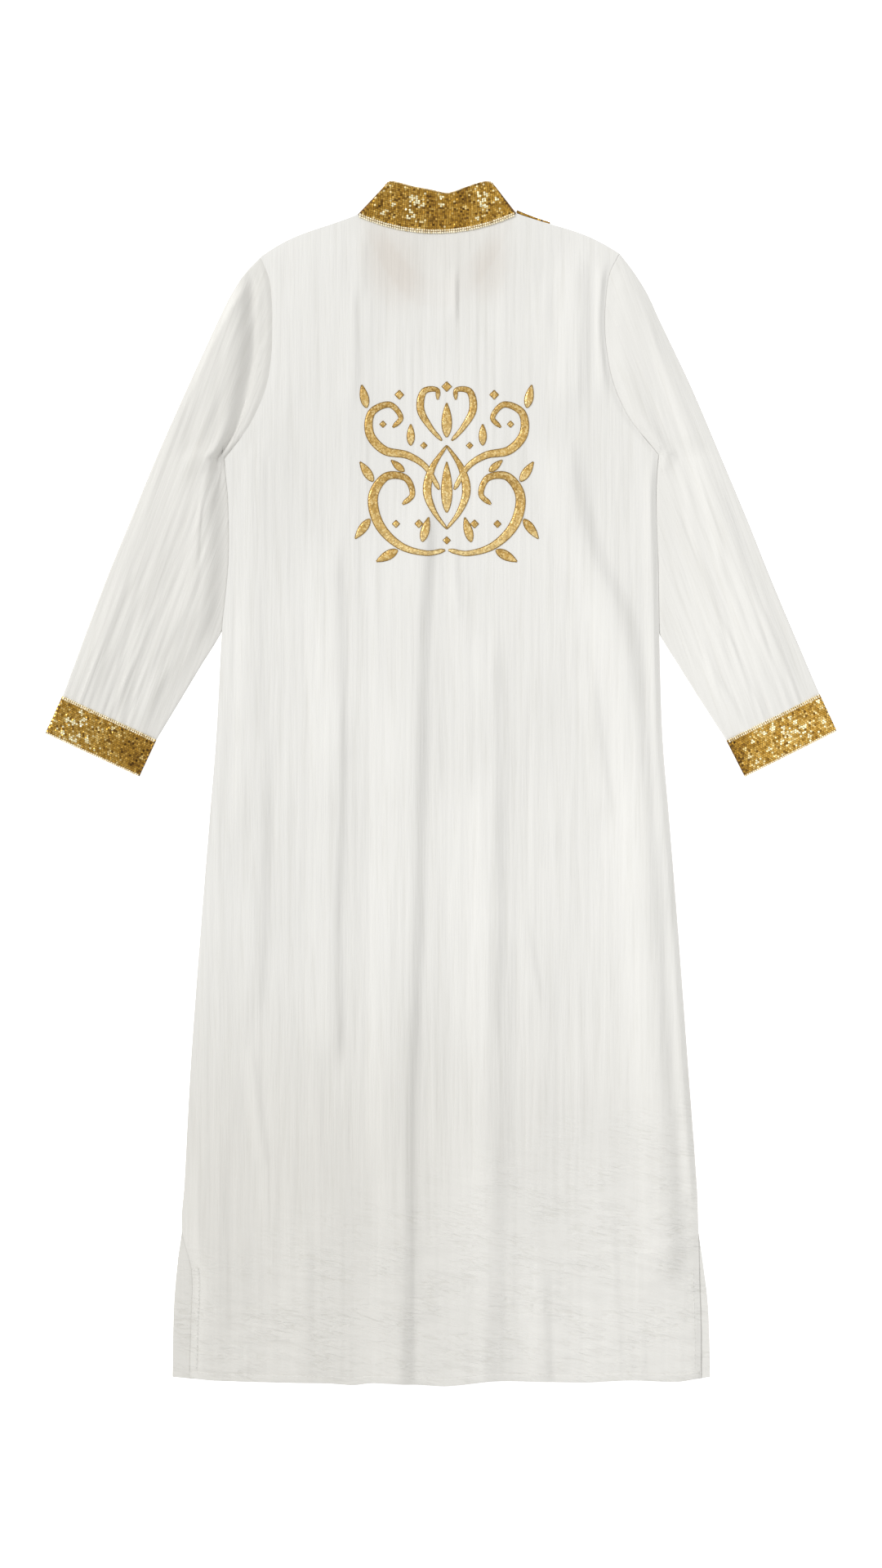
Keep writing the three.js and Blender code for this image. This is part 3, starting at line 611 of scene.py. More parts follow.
def lowShare(x, y):
    # how far the slanting wrinkles of the lower third take over, more on the right
    return smooth((creases["lowFrom"] - y + creases["lowLean"] * x) / creases["lowRun"])


def clothCreases(x, y, low, seed):
    long = (
        creases["broad"] * lattice(x + 9 * lattice(x, y, 200, 200, seed + 5), y, *creases["broadSize"], seed)
        + creases["middle"] * lattice(x, y, *creases["middleSize"], seed + 1)
        + creases["fine"] * lattice(x, y, *creases["fineSize"], seed + 2)
    )
    turn = creases["slantTurn"]
    u, v = x * math.cos(turn) - y * math.sin(turn), x * math.sin(turn) + y * math.cos(turn)
    patch = smooth(0.5 + creases["patchEase"] * lattice(x, y, *creases["patchSize"], seed + 4))
    slant = creases["slant"] * mix(creases["patchLeast"], 1, patch)
    slant = slant * lattice(u, v, *creases["slantSize"], seed + 3)
    return long * (1 - creases["longLoss"] * low) + slant * mix(creases["slantLeast"], 1, low)


def backTop(x, y, top=None):
    # upper face of the back: on the front, over the sleeves and the collar's front
    x, y = np.asarray(x, float), np.asarray(y, float)
    if top is None:
        top = np.full_like(y, creases["frontTop"])
    edge = np.where(x > 0, edgeX(1, y), -edgeX(0, y))
    inward = edge - np.abs(x)
    slitShare = smooth((creases["slitFrom"] - y) / creases["slitEase"])
    leftRun = mix(creases["edgeRun"][0], creases["leftSlitRun"], slitShare)
    edgeRun = np.where(x > 0, creases["edgeRun"][1], leftRun)
    fade = smooth(inward / edgeRun)
    fade = fade * smooth((top - y) / creases["edgeRun"][0])
    folds = sum(foldRise(fold, x, y) for fold in backFolds)
    # it lies higher over the collar's front and the neck slit
    ease, fromMiddle = creases["neckEase"], np.abs(x - creases["middleX"])
    neck = creases["neckLoft"] * smooth((y - creases["neckFrom"]) / ease)
    neck = neck * smooth((creases["neckHalf"] - fromMiddle) / ease)
    wrinkles = clothCreases(x, y, lowShare(x, y), 11)
    (edgeWide, edgeStart), (topWide, topStart) = creases["edgeEase"], creases["topEase"]
    edgeFade = smooth(inward / edgeWide + edgeStart) * smooth((top - y) / topWide + topStart)
    base = 2 * cut["layer"] + cut["gap"] + creases["seamLoft"] + neck + ride["back"] * rideAt(x, y)
    rise = fade * (creases["backLoft"] + folds) + edgeFade * (wrinkles + creases["wrinkleLoft"])
    # beside the slits the back's edge comes down onto the front
    slitDrop = creases["slitDrop"] * smooth((creases["dropFrom"] - y) / creases["dropEase"])
    return base + np.maximum(rise, 0) - slitDrop * (1 - smooth(inward / creases["dropWide"]))


# painted see-through and shade: the collar's front as it shows through the sheer back, drawn as a darker tint
# on the back's cloth: its band, two soft patches and a veil of painted shade over both
shown = {
    "half": 98, "wide": 46, "bow": 18, "lowEase": 5, "topEase": 8, "sideEase": 0.06, "band": 0.14,
    "lobeReach": 1.3, "lobeEase": 0.95, "lobeLeast": 0.75,
    "veil": 0.1, "veilFrom": 560, "veilRun": 70, "veilHalf": 110, "veilEase": 60, "all": 0.52,
}
# each patch: strength, middle x and y, half width and height, lean
lobes = [(0.75, -58, 632, 36, 52, -0.2), (0.6, 60, 628, 22, 40, 0.15)]


def paintedSeeThrough(x, y):
    patches = 0 * x
    for strength, cx, cy, rx, ry, lean in lobes:
        dx, dy = x - cx - lean * (y - cy), y - cy
        apart = np.sqrt((dx / rx) ** 2 + (dy / ry) ** 2)
        patches = patches + strength * smooth(shown["lobeReach"] - apart * shown["lobeEase"])
    s = np.clip((x - creases["middleX"]) / shown["half"], -1, 1)
    seam = neckY(s, cut["frontNeckDrop"])
    band = smooth((y - seam) / shown["lowEase"])
    band = band * smooth((seam + shown["wide"] + shown["bow"] * s * s - y) / shown["topEase"])
    band = band * smooth((1 - np.abs(s)) / shown["sideEase"])
    veil = smooth((y - shown["veilFrom"]) / shown["veilRun"])
    veil = veil * smooth((shown["veilHalf"] - np.abs(x - creases["middleX"])) / shown["veilEase"])
    seenThroughShade = shown["band"] * band + patches * mix(shown["lobeLeast"], 1, band) + shown["veil"] * veil
    return np.clip(seenThroughShade, 0, 1) * shown["all"]


# painted shade: where the cloth is drawn a little greyer, downwards and more to the left, and below the neck
paintedShadeArea = {
    "from": -150, "run": 330, "right": 180, "rightRun": 380, "least": 0.45,
    "neck": 0.55, "neckFrom": 575, "neckRun": 80, "neckHalf": 125, "neckEase": 70,
}


def clothValues(x, y, low, seenThroughShade):
    # what the crepe reads at each point: its plan place, and the shares of wrinkles, of painted shade and of
    # the painted see-through tint
    flat = np.stack([x, y, np.zeros_like(x)], -1).reshape(-1, 3) * metre
    leftward = mix(paintedShadeArea["least"], 1, smooth((paintedShadeArea["right"] - x) / paintedShadeArea["rightRun"]))
    neck = paintedShadeArea["neck"] * smooth((y - paintedShadeArea["neckFrom"]) / paintedShadeArea["neckRun"])
    neck = neck * smooth((paintedShadeArea["neckHalf"] - np.abs(x - creases["middleX"])) / paintedShadeArea["neckEase"])
    paintedShade = smooth((paintedShadeArea["from"] - y) / paintedShadeArea["run"]) * leftward + neck
    return {
        "grain": np.concatenate([flat, flat]), "low": np.tile(low.ravel(), 2),
        "seenThroughShade": np.tile(seenThroughShade.ravel(), 2), "paintedShade": np.tile(paintedShade.ravel(), 2),
    }


# steps of each panel: along a shoulder, along the neck, below and above the underarm
backSteps = (58, 110, 184, 34)
frontSteps = (16, 48, 130, 40)
# the short slit below the front's neckline: length, and half its width as a share of the neck
neckSlit = {"length": 180.0, "half": 0.022}


def buildBack():
    x, y, top = panelGrid(backSlitRows, cut["backNeckDrop"], *backSteps, 0)
    z = backTop(x, y, top)
    upper = np.stack([x, y, z], -1)
    lower = upper - [0, 0, cut["cloth"]]
    points, faces = shellMesh(upper, lower)
    return addPiece(
        "back", points, faces, crepe,
        clothValues(x, y, lowShare(x, y), paintedSeeThrough(x, y)), node="back_panel",
    )


def buildFront():
    x, y, top = panelGrid(frontSlitRows, cut["frontNeckDrop"], *frontSteps, cut["frontHemRise"], neckSlit)
    edge = np.where(x > 0, edgeX(1, y, frontSlitRows), -edgeX(0, y, frontSlitRows))
    lift = rideAt(x, y)
    share = lift / ride["height"]
    ripple = 0.25 * (1 + lattice(x, y, 14, 40, 71)) * smooth((edge - np.abs(x)) / 6) * (1 - 0.9 * share)
    # its edge stays just inside the back's where a sleeve lies under it
    x = x - np.sign(x) * ride["inset"] * share * (1 - smooth((edge - np.abs(x)) / 30))
    lower = np.stack([x, y, lift], -1)
    upper = np.stack([x, y, lift + cut["cloth"] + ripple], -1)
    points, faces = shellMesh(upper, lower)
    return addPiece(
        "front", points, faces, crepe,
        clothValues(x, y, lowShare(x, y), x * 0), node="front_panel",
    )


back = buildBack()
front = buildFront()
print("panels laid")

# sleeves

sleeve = {
    "rings": 150, "stations": 84, "puff": 3.0, "under": 1.55, "shelf": 15,
    "riseFrom": (0, 20, 20), "riseRun": (30, 60, 40), "settle": (24, 6.2), "tuck": 1.0,
    "seamDrop": (0.6, 1.0), "lowestTop": 1.45, "outerRun": (18, 32), "foldEnd": 0.08,
    "hookFirst": 8, "hookFull": 36, "hookRun": 0.3, "straightFrom": 0.35, "straightRun": 0.4,
    "curveRun": 0.1, "curveEase": 0.85, "panelSteps": 9, "near": (0.25, 0.8, 1.7, 3.0),
    "crowding": 1.25, "inner": (0.035, 0.975), "hookLeast": 14, "besideRun": 25, "cuffFrom": 0.88,
    "cuffLoss": 0.35, "innerRun": 26, "square": 0.93, "settleFrom": 3.2, "seamWide": 2.6,
    "gather": 0.28, "gatherSize": (20, 5.5), "gatherReach": 26, "paintedShade": (0.6, 0.2),
}
# small crinkles along the sleeves: height on either sleeve, size across and along; "lower" ones lie only
# towards the cuff
sleeveCrinkles = [
    {"height": (0.55, 0.55), "size": (24, 150), "seed": 31, "lower": False},
    {"height": (0.3, 0.3), "size": (11, 60), "seed": 41, "lower": False},
    {"height": (0.62, 0.62), "size": (5.5, 65), "seed": 46, "lower": False},
    {"height": (0.85, 1.15), "size": (4.7, 44), "seed": 51, "lower": True},
]
# share from armhole to cuff, outer edge x and y, inner edge x and y
sleeveRows = [
    [(0, -221.3, 645, -265, 398), (0.04, -241, 624, -261.5, 384), (0.09, -258, 597, -257.5, 367),
     (0.15, -274, 564.5, -255, 346), (0.3, -311, 484, -252.5, 295), (0.45, -347, 403, -253, 243),
     (0.6, -380, 323, -266, 192), (0.75, -413, 242, -296.5, 140), (1, -463.1, 107.8, -348.1, 54.2)],
    [(0, 218.3, 649.5, 266, 403), (0.04, 235, 628, 262, 389), (0.09, 252, 601, 258.5, 371.5),
     (0.15, 267, 568.5, 256.5, 350.5), (0.3, 305.5, 487.5, 255, 298), (0.45, 340, 406.5, 254, 245.5),
     (0.6, 374, 325.5, 263.5, 193), (0.75, 406.5, 244.5, 293.4, 140.5), (1, 463.1, 110.2, 349.1, 53.2)],
]
# folds along a sleeve: crest as (share along, share across), height, run towards either edge in mm
sleeveFolds = [
    [
        {"crest": [(0.02, 0.3), (0.3, 0.36), (0.7, 0.34), (1, 0.3)], "height": 1.1, "outer": 44, "inner": 34,
         "from": 0.05, "to": 1.0},
        {"crest": [(0, 0.7), (0.5, 0.68), (1, 0.66)],
         "height": 1.5, "outer": 22, "inner": 18, "from": 0.1, "to": 0.9},
        {"crest": [(0.75, 0.45), (1, 0.55)],
         "height": 2.2, "outer": 14, "inner": 9, "from": 0.74, "to": 0.97},
        {"crest": [(0.7, 0.16), (1, 0.2)], "height": 1.6, "outer": 9, "inner": 10, "from": 0.7, "to": 1.0},
        {"crest": [(0.8, 0.75), (1, 0.82)], "height": 1.6, "outer": 10, "inner": 8, "from": 0.82, "to": 1.0},
    ],
    [
        {"crest": [(0.02, 0.2), (0.3, 0.23), (0.7, 0.22), (1, 0.22)], "height": 3.4, "outer": 29, "inner": 44,
         "from": 0.0, "to": 1.0},
        {"crest": [(0, 0.5), (0.5, 0.55), (1, 0.6)],
         "height": 2.0, "outer": 26, "inner": 26, "from": 0.1, "to": 1.0},
        {"crest": [(0.6, 0.36), (1, 0.4)], "height": 1.5, "outer": 10, "inner": 14, "from": 0.6, "to": 0.97},
        {"crest": [(0.78, 0.8), (1, 0.78)], "height": 1.5, "outer": 9, "inner": 12, "from": 0.8, "to": 1.0},
        {"crest": [(0.3, 0.28), (0.55, 0.3)],
         "height": 1.2, "outer": 10, "inner": 12, "from": 0.3, "to": 0.6},
        {"crest": [(0.76, 0.17), (1, 0.21)], "height": 1.2, "outer": 6, "inner": 5, "from": 0.78, "to": 1.0},
        {"crest": [(0.78, 0.28), (1, 0.31)], "height": 1.2, "outer": 6, "inner": 5, "from": 0.8, "to": 1.0},
    ],
]
# soft rolls beside the armhole seam: distance out from it, height, half of a flat crest, runs either way
armholeRolls = [
    [{"out": 10.5, "height": 1.5, "flat": 5, "seam": 7, "away": 5},
     {"out": 23, "height": -1.4, "flat": 2, "seam": 6, "away": 16},
     {"out": 52, "height": 5.0, "flat": 0, "seam": 32, "away": 60},
     {"out": 35, "height": 3.8, "flat": 0, "seam": 15, "away": 24}],
    [{"out": 22, "height": 3.6, "flat": 0, "seam": 22, "away": 32}],
]
# where the rolls start and fade, by y
rolls = {
    "from": 378, "ease": 30, "closed": 0.45, "openFrom": 395, "openRun": 105, "outerRun": 24,
    "sideFrom": 414, "sideTo": 170, "sideEase": 45,
}
# the roll beside the body's edge below the underarm, one for either sleeve
sideRolls = [
    {"out": 26, "height": 4.6, "seam": 23, "away": 45}, {"out": 30, "height": 0.8, "seam": 28, "away": 40},
]


def armholePoint(side, t):
    # the sleeve's side of the seam, from the shoulder tip to the underarm
    outward = outwardOf[side]
    x = through(armholeRows, 1 - t, 1 + side) + outward * 0.2
    return np.stack([x, mix(cut["tipY"][side], cut["underarm"][side], t)], -1)


def buildSleeve(side, name, node):
    rows = sleeveRows[side]
    outward = outwardOf[side]
    ringCount, stationCount, steps = sleeve["rings"], sleeve["stations"], sleeve["panelSteps"]
    # rings lie closer near the armhole
    s = np.linspace(0, 1, ringCount) ** sleeve["crowding"]

    def edgeAt(share, column):
        return np.stack([through(rows, share, column), through(rows, share, column + 1)], -1)

    def squareAt(share):
        along = unit(edgeAt(share + 0.01, 3) - edgeAt(share - 0.01, 3))
        turn = np.sign(-along[..., 1] * outward)[..., None]
        return np.stack([-along[..., 1], along[..., 0]], -1) * turn

    def cornerAt(share):
        hook = mix(sleeve["hookFirst"], sleeve["hookFull"], smooth(share / sleeve["hookRun"]))[..., None]
        straight = smooth((share - sleeve["straightFrom"]) / sleeve["straightRun"])[..., None]
        outer, inner = edgeAt(share, 1), edgeAt(share, 3)
        return inner + mix(squareAt(share) * hook, (outer - inner) / steps, straight)

    outer, inner, corner = edgeAt(s, 1), edgeAt(s, 3), cornerAt(s)
    firstCorner = cornerAt(np.zeros(1))[0]
    tip = armholePoint(side, np.zeros(1))[0]
    width = np.linalg.norm(corner - outer, axis=-1) + np.linalg.norm(inner - corner, axis=-1)
    hookLength = np.linalg.norm(inner - corner, axis=-1)
    middle = np.linspace(0, 1, stationCount + 2)[1:-1]
    near = np.array(sleeve["near"])
    shareLast = 1 - 1 / steps
    q = np.concatenate([
        np.zeros((ringCount, 1)), near[None] / width[:, None],
        np.broadcast_to(mix(*sleeve["inner"], middle), (ringCount, stationCount)),
        1 - near[None, ::-1] / (steps * np.maximum(hookLength, sleeve["hookLeast"])[:, None]),
        np.ones((ringCount, 1)),
    ], 1)
    q = np.sort(q, 1)
    before = np.minimum(q, shareLast)
    along = before / shareLast
    keep = np.maximum(0, 1 - s[:, None] / sleeve["curveRun"] / (1 - sleeve["curveEase"] * along ** 3)) ** 2
    seam = armholePoint(side, before)
    plan = mix(outer[:, None], corner[:, None], along[..., None]) + keep[..., None] * (
        seam - mix(tip, firstCorner, along[..., None]))
    after = np.clip((q - shareLast) * steps, 0, 1)[..., None]
    plan = mix(plan, inner[:, None], after)
    x, y = plan[..., 0], plan[..., 1]

    # plain distances for the relief: along the sleeve and across it
    axisFrom, axisTo = mix(outer[0], inner[0], 0.5), mix(outer[-1], inner[-1], 0.5)
    axis = unit(axisTo - axisFrom)
    far = (plan - axisFrom) @ axis
    across = (plan - axisFrom) @ np.array([axis[1], -axis[0]])
    fromOuter = q * width[:, None]
    fromInner = np.where(q > shareLast, (1 - q) * steps * hookLength[:, None],
                         hookLength[:, None] + (shareLast - q) * width[:, None])
    edge = np.where(x > 0, edgeX(1, y), -edgeX(0, y))
    clear = np.abs(x) - edge
    beside = smooth((y - cut["underarm"][side]) / sleeve["besideRun"])
    riseFrom = mix(sleeve["riseFrom"][side], sleeve["riseFrom"][2], beside)
    riseRun = mix(sleeve["riseRun"][side], sleeve["riseRun"][2], beside)
    # it rises away from the body and comes down a little to the cuff
    nearCuff = smooth((s[:, None] - sleeve["cuffFrom"]) / (1 - sleeve["cuffFrom"]))
    swell = smooth((clear - riseFrom) / riseRun) * (1 - sleeve["cuffLoss"] * nearCuff)
    puff = smooth((fromInner - sleeve["shelf"] * 0.4) / sleeve["innerRun"])
    puff = puff * smooth(fromOuter / sleeve["outerRun"][side])
    rise = sleeve["puff"] + 0 * x
    for fold in sleeveFolds[side]:
        shareAcross = through(fold["crest"], s)[:, None]
        offset = (q - shareAcross) * width[:, None]
        run = sleeve["foldEnd"]
        ends = smooth((s[:, None] - fold["from"]) / run + 0.5) * smooth((fold["to"] - s[:, None]) / run + 0.5)
        rise = rise + fold["height"] * bell(offset, fold["outer"], fold["inner"]) * ends
    # the distance square to the seam is a little less than the one across
    out = clear * sleeve["square"]
    # the rolls close up towards the underarm
    rollFade = smooth((y - rolls["from"]) / rolls["ease"])
    gathered = out / mix(rolls["closed"], 1, smooth((y - rolls["openFrom"]) / rolls["openRun"]))
    roll = 0 * x
    for entry in armholeRolls[side]:
        offset = gathered - entry["out"]
        offset = np.sign(offset) * np.maximum(np.abs(offset) - entry["flat"], 0)
        share = rollFade * smooth(fromOuter / rolls["outerRun"])
        roll = roll + entry["height"] * bell(offset, entry["seam"], entry["away"]) * share
    # lower down the sleeve rolls over beside the body's edge
    low = sideRolls[side]
    share = smooth((rolls["sideFrom"] - y) / rolls["ease"])
    share = share * smooth((y - rolls["sideTo"]) / rolls["sideEase"])
    roll = roll + low["height"] * bell(out - low["out"], low["seam"], low["away"]) * share
    lowerHalf = smooth((s[:, None] - 0.5) / 0.4)
    crinkles = 0 * x
    for entry in sleeveCrinkles:
        where = lowerHalf if entry["lower"] else 1
        relief = lattice(across, far, *entry["size"], entry["seed"] + side)
        crinkles = crinkles + entry["height"][side] * where * relief
    # gathers beside the seam, slanting across it
    turnedX, turnedY = x * 0.8 + y * 0.6, y * 0.8 - x * 0.6
    gathers = sleeve["gather"] * lattice(turnedX, turnedY, *sleeve["gatherSize"], 61 + side)
    # low under the body, level with it beside the seam
    clearOfBody = np.maximum(smooth((clear + sleeve["settleFrom"]) / sleeve["settle"][side]), beside)
    lowest = mix(sleeve["under"], 2 * cut["layer"] + cut["gap"], clearOfBody)
    seamDrop = sleeve["seamDrop"][side] * (1 - smooth((out + 0.7) / sleeve["seamWide"])) * beside
    top = lowest + 0.3 * smooth(fromInner / sleeve["shelf"]) * clearOfBody
    top = top + puff * swell * rise + smooth(clear / 12) * puff * crinkles
    gathers = gathers * rollFade * smooth((sleeve["gatherReach"] - out) / 14)
    top = top + (roll + gathers) * smooth(clear / 5) - seamDrop
    top = np.maximum(top, sleeve["lowestTop"])
    # round folded edges where the upper and lower layer meet
    reach = np.minimum(fromOuter, fromInner) / near[-1]
    rounded = np.sqrt(np.clip(1 - (1 - np.clip(reach, 0, 1)) ** 2, 0, 1))
    middleLevel = 0.5 * top
    topLevel = mix(middleLevel, top, rounded)
    lowLevel = mix(middleLevel, 0, rounded)
    wall = cut["cloth"]
    # the first ring of the upper layer is tucked under the back's edge
    tucked = np.zeros_like(plan)
    tucked[0, :, 0] = -outward * sleeve["tuck"] * (q[0] < shareLast) * smooth(fromOuter[0] / 8)
    upper = np.concatenate([plan + tucked, topLevel[..., None]], -1)
    under = np.stack([x, y, lowLevel], -1)[:, -2:0:-1]
    outerSkin = np.concatenate([upper, under], 1)
    inset = np.clip(1.2 * wall * (1 - reach), 0, wall)[..., None]
    towards = mix(unit(plan[:, 1:2] - plan[:, :1]), unit(plan[:, -2:-1] - plan[:, -1:]),
                  (fromInner < fromOuter)[..., None])
    inPlan = plan + towards * inset
    upperIn = np.concatenate([inPlan + tucked, mix(middleLevel, top - wall, rounded)[..., None]], -1)
    underIn = np.concatenate([inPlan, mix(middleLevel, wall, rounded)[..., None]], -1)[:, -2:0:-1]
    innerSkin = np.concatenate([upperIn, underIn], 1)
    points, faces = tubeMesh(outerSkin, innerSkin)
    grainTop = np.stack([across + 1000 * (side + 1), far, 0 * x], -1)
    grain = np.concatenate([grainTop, grainTop[:, -2:0:-1] + [500, 0, 0]], 1).reshape(-1, 3) * metre
    count = len(grain)
    values = {
        "grain": np.concatenate([grain, grain]), "low": np.zeros(2 * count), "seenThroughShade": np.zeros(2 * count),
        # painted shade: the left sleeve is drawn a little greyer than the right
        "paintedShade": np.full(2 * count, sleeve["paintedShade"][side]),
    }
    return addPiece(name, points, faces, crepe, values, node=node)


leftSleeve = buildSleeve(0, "leftSleeve", "sleeve_left")
rightSleeve = buildSleeve(1, "rightSleeve", "sleeve_right")
print("sleeves laid")

# hems

hem = {"band": 9.0, "thick": 0.45, "stitch": 3.4, "pitch": 5.2, "inFromEdge": 7.6, "lift": 0.16}


def hemPath(slitSide=None):
    # plan points just inside the back's hem or slit edge, and the way inwards from them
    if slitSide is None:
        u = np.linspace(0.004, 0.996, 150)
        y = through(hemRows, u) + 0.3
        x = mix(edgeX(0, y), edgeX(1, y), u)
        inward = np.tile([0.0, 1.0], (len(u), 1))
    else:
        y = np.linspace(-719, -592, 44)
        x = edgeX(slitSide, y) - outwardOf[slitSide] * 0.3
        inward = np.tile([-outwardOf[slitSide], 0.0], (len(y), 1))
    return np.stack([x, y], -1), inward


def buildHem(name, slitSide=None):
    path, inward = hemPath(slitSide)
    steps = np.array([0, 0.25, 0.5, 0.75, 0.96, 1]) * hem["band"]
    # a slit's hem is pressed flat, so that its inner edge fades into the cloth
    profile = [0.55, 1, 0.9, 1, 0.9, 0.25] if slitSide is None else [0.5, 0.6, 0.45, 0.3, 0.1, 0]
    level = np.array(profile) * hem["thick"]
    plan = path[:, None] + inward[:, None] * steps[None, :, None]
    base = backTop(plan[..., 0], plan[..., 1])
    upper = np.concatenate([plan, (base + hem["lift"] + level[None])[..., None]], -1)
    lower = np.concatenate([plan, (base + hem["lift"] - 0.12 + 0 * level[None])[..., None]], -1)
    points, faces = shellMesh(upper, lower)
    x, y = plan[..., 0], plan[..., 1]
    band = addPiece(name, points, faces, crepe, clothValues(x, y, x * 0 + 1, x * 0))
    line = path + inward * hem["inFromEdge"]
    marks = np.arange(hem["pitch"], lengthAlong(line)[-1], hem["pitch"])
    centres = pointsAlong(line, marks)
    ways = pointsAlong(line, marks + 1) - centres
    heights = backTop(centres[:, 0], centres[:, 1]) + hem["lift"] + hem["thick"]
    points, faces = beadForm()
    scale = np.tile([hem["stitch"] / 2, 0.3, 0.22], (len(marks), 1))
    placed, copied = scatter(points, faces, np.column_stack([centres, heights]), roundAxes(ways), scale)
    stitches = addPiece(name + "Stitches", placed, copied, thread)
    return [band, stitches]


hemPieces = buildHem("backHem") + buildHem("leftSlitHem", 0) + buildHem("rightSlitHem", 1)
print("hems sewn")

# collar

collar = {
    "topX": (-67.5, 64.5), "topY": 737.2, "topDip": 14.2, "height": 48.0,
    "outer": 2.4, "inner": 1.3, "seam": 0.25, "slit": 0.0122, "end": 0.971, "corner": 7.0, "half": 65.0,
}
# how far the top edge dips, by share from left to right
dipRows = [
    (0, 0), (0.08, 0), (0.25, 0.42), (0.4, 0.68), (0.52, 0.93), (0.565, 1), (0.61, 0.93), (0.755, 0.45),
    (0.9, 0.03), (1, 0),
]


def collarEdge(s, front):
    # seam point and top point of the collar at a station
    s = np.asarray(s, float)
    share = (s / collar["end"] + 1) / 2
    dip = 1 - (s / collar["end"]) ** 2
    topX = mix(*collar["topX"], share)
    # rounded upper corners
    near = np.clip(1 - (1 - np.abs(s) / collar["end"]) * collar["half"] / collar["corner"], 0, 1)
    topY = collar["topY"] - collar["corner"] * (1 - np.sqrt(1 - near ** 2))
    if front:
        lean = np.hypot(1, 2.5 * s)
        seam = np.stack([neckX(s), neckY(s, cut["frontNeckDrop"]) + collar["seam"] * lean], -1)
        free = cut["frontNeckDrop"] + collar["topY"] - cut["neckY"][0] - collar["height"]
        return seam, np.stack([topX, topY - free * dip], -1)
    seam = np.stack([neckX(s), neckY(s, cut["backNeckDrop"]) + collar["seam"]], -1)
    return seam, np.stack([topX, topY - collar["topDip"] * through(dipRows, share)], -1)


def buildCollar():
    end = collar["end"]
    sections = []
    for s in np.linspace(collar["slit"], end, 22)[:-1]:
        sections.append((s, True, -90, 1))
    for angle in np.linspace(-90, 90, 7):
        sections.append((end, False, angle, 1))
    for s in end * np.sin(np.linspace(math.pi / 2, -math.pi / 2, 64)[1:-1]):
        sections.append((s, False, 90, 1 if s > 0 else -1))
    for angle in np.linspace(90, -90, 7):
        sections.append((-end, False, angle, -1))
    for s in np.linspace(-end, -collar["slit"], 22)[1:]:
        sections.append((s, True, -90, -1))
    skins = []
    for reach in (collar["outer"], collar["inner"]):
        rows = []
        for s, isFront, angle, hand in sections:
            seam, top = collarEdge(s, isFront)
            run = unit(top - seam)
            side = np.array([run[1], -run[0]]) * hand
            turn = math.radians(angle)
            share = np.linspace(0, 1, 9)[:, None]
            plan = mix(seam, top, share) + side * reach * math.cos(turn)
            level = np.full((9, 1), collar["outer"] + reach * math.sin(turn))
            rows.append(np.concatenate([plan, level], 1))
        skins.append(np.array(rows))
    points, faces = shellMesh(skins[0], skins[1])
    return addPiece("collarBand", points, faces, ground, node="collar")


collarBand = buildCollar()

# sequins and beads

sequins = {"radius": 1.38, "thick": 0.26, "pitch": 2.75, "row": 2.35, "tilt": 0.105, "lift": 0.35, "sides": 8,
           "jitter": 0.18, "dish": 0.9}
# painted highlights: clusters of flashing sequins on the collar and the cuffs: x, y, radius; one under 4 mm
# is a single large flashing flake
collarLights = [
    (-33, 710, 12), (50, 713, 9), (-59, 708, 2), (-37, 718, 3), (-30, 717, 3), (-29, 712, 3), (-37, 700, 2),
    (-41, 693, 3), (-34, 695, 2), (-22, 708, 2), (1, 708, 2), (1, 718, 2), (54, 722, 3), (46, 719, 2),
    (50, 708, 2), (55, 706, 2), (45, 692, 2), (30, 706, 2), (-72, 698, 2), (68, 716, 2),
]
# painted shade: darker bands across the collar's sequins: x, half width
collarShadeBands = [(25, 8), (-12, 5)]
leftCuffLights = [
    (-448, 72, 12), (-456, 80, 2), (-450, 74, 3), (-440, 72, 3), (-436, 78, 2), (-463, 63, 2), (-453, 55, 2),
    (-443, 60, 2), (-447, 53, 2), (-440, 88, 2), (-433, 55, 2), (-366, 33, 3), (-402, 68, 2),
]
rightCuffLights = [
    (430, 62, 22), (427, 80, 3), (434, 76, 3), (406, 71, 3), (405, 66, 3), (396, 63, 3), (381, 53, 3),
    (371, 43, 3), (377, 33, 2), (386, 28, 2), (462, 100, 3), (469, 76, 3), (402, 43, 2), (419, 68, 3),
    (442, 70, 2), (450, 58, 2),
]


def sequinFlashAt(x, y, lights, dark, gold):
    # painted reflection: each sequin's colour sits at random between its dark side and its flash, lifted for
    # the whole piece by gold and brighter in the clusters
    value = 0.46 + gold + 0.13 * rng.standard_normal(len(x))
    value += 0.09 * lattice(x, y, 14, 11, 5)
    # painted glints: a few sequins at random are drawn near full flash, and a few at their dark side
    dots = rng.random(len(x))
    value = np.where(dots > 0.972, 0.93, value)
    value = np.where(dots < 0.05, 0.1 + gold, value)
    for cx, cy, radius in lights:
        apart = np.hypot(x - cx, y - cy)
        near = np.exp(-2 * (apart / radius) ** 2)
        value = np.where(rng.random(len(x)) < 0.3 * near, 1.0, value + 0.05 * near)
        # a single large flashing flake is painted as the three sequins nearest to it, at full flash
        if radius < 4:
            value[np.argsort(apart)[:3]] = 1.0
    # painted shade: darker bands and strips take the sequins towards their dark side
    for cx, half in dark:
        value -= 0.22 * np.exp(-((x - cx) / half) ** 2)
    return np.clip(value, 0.02, 1)


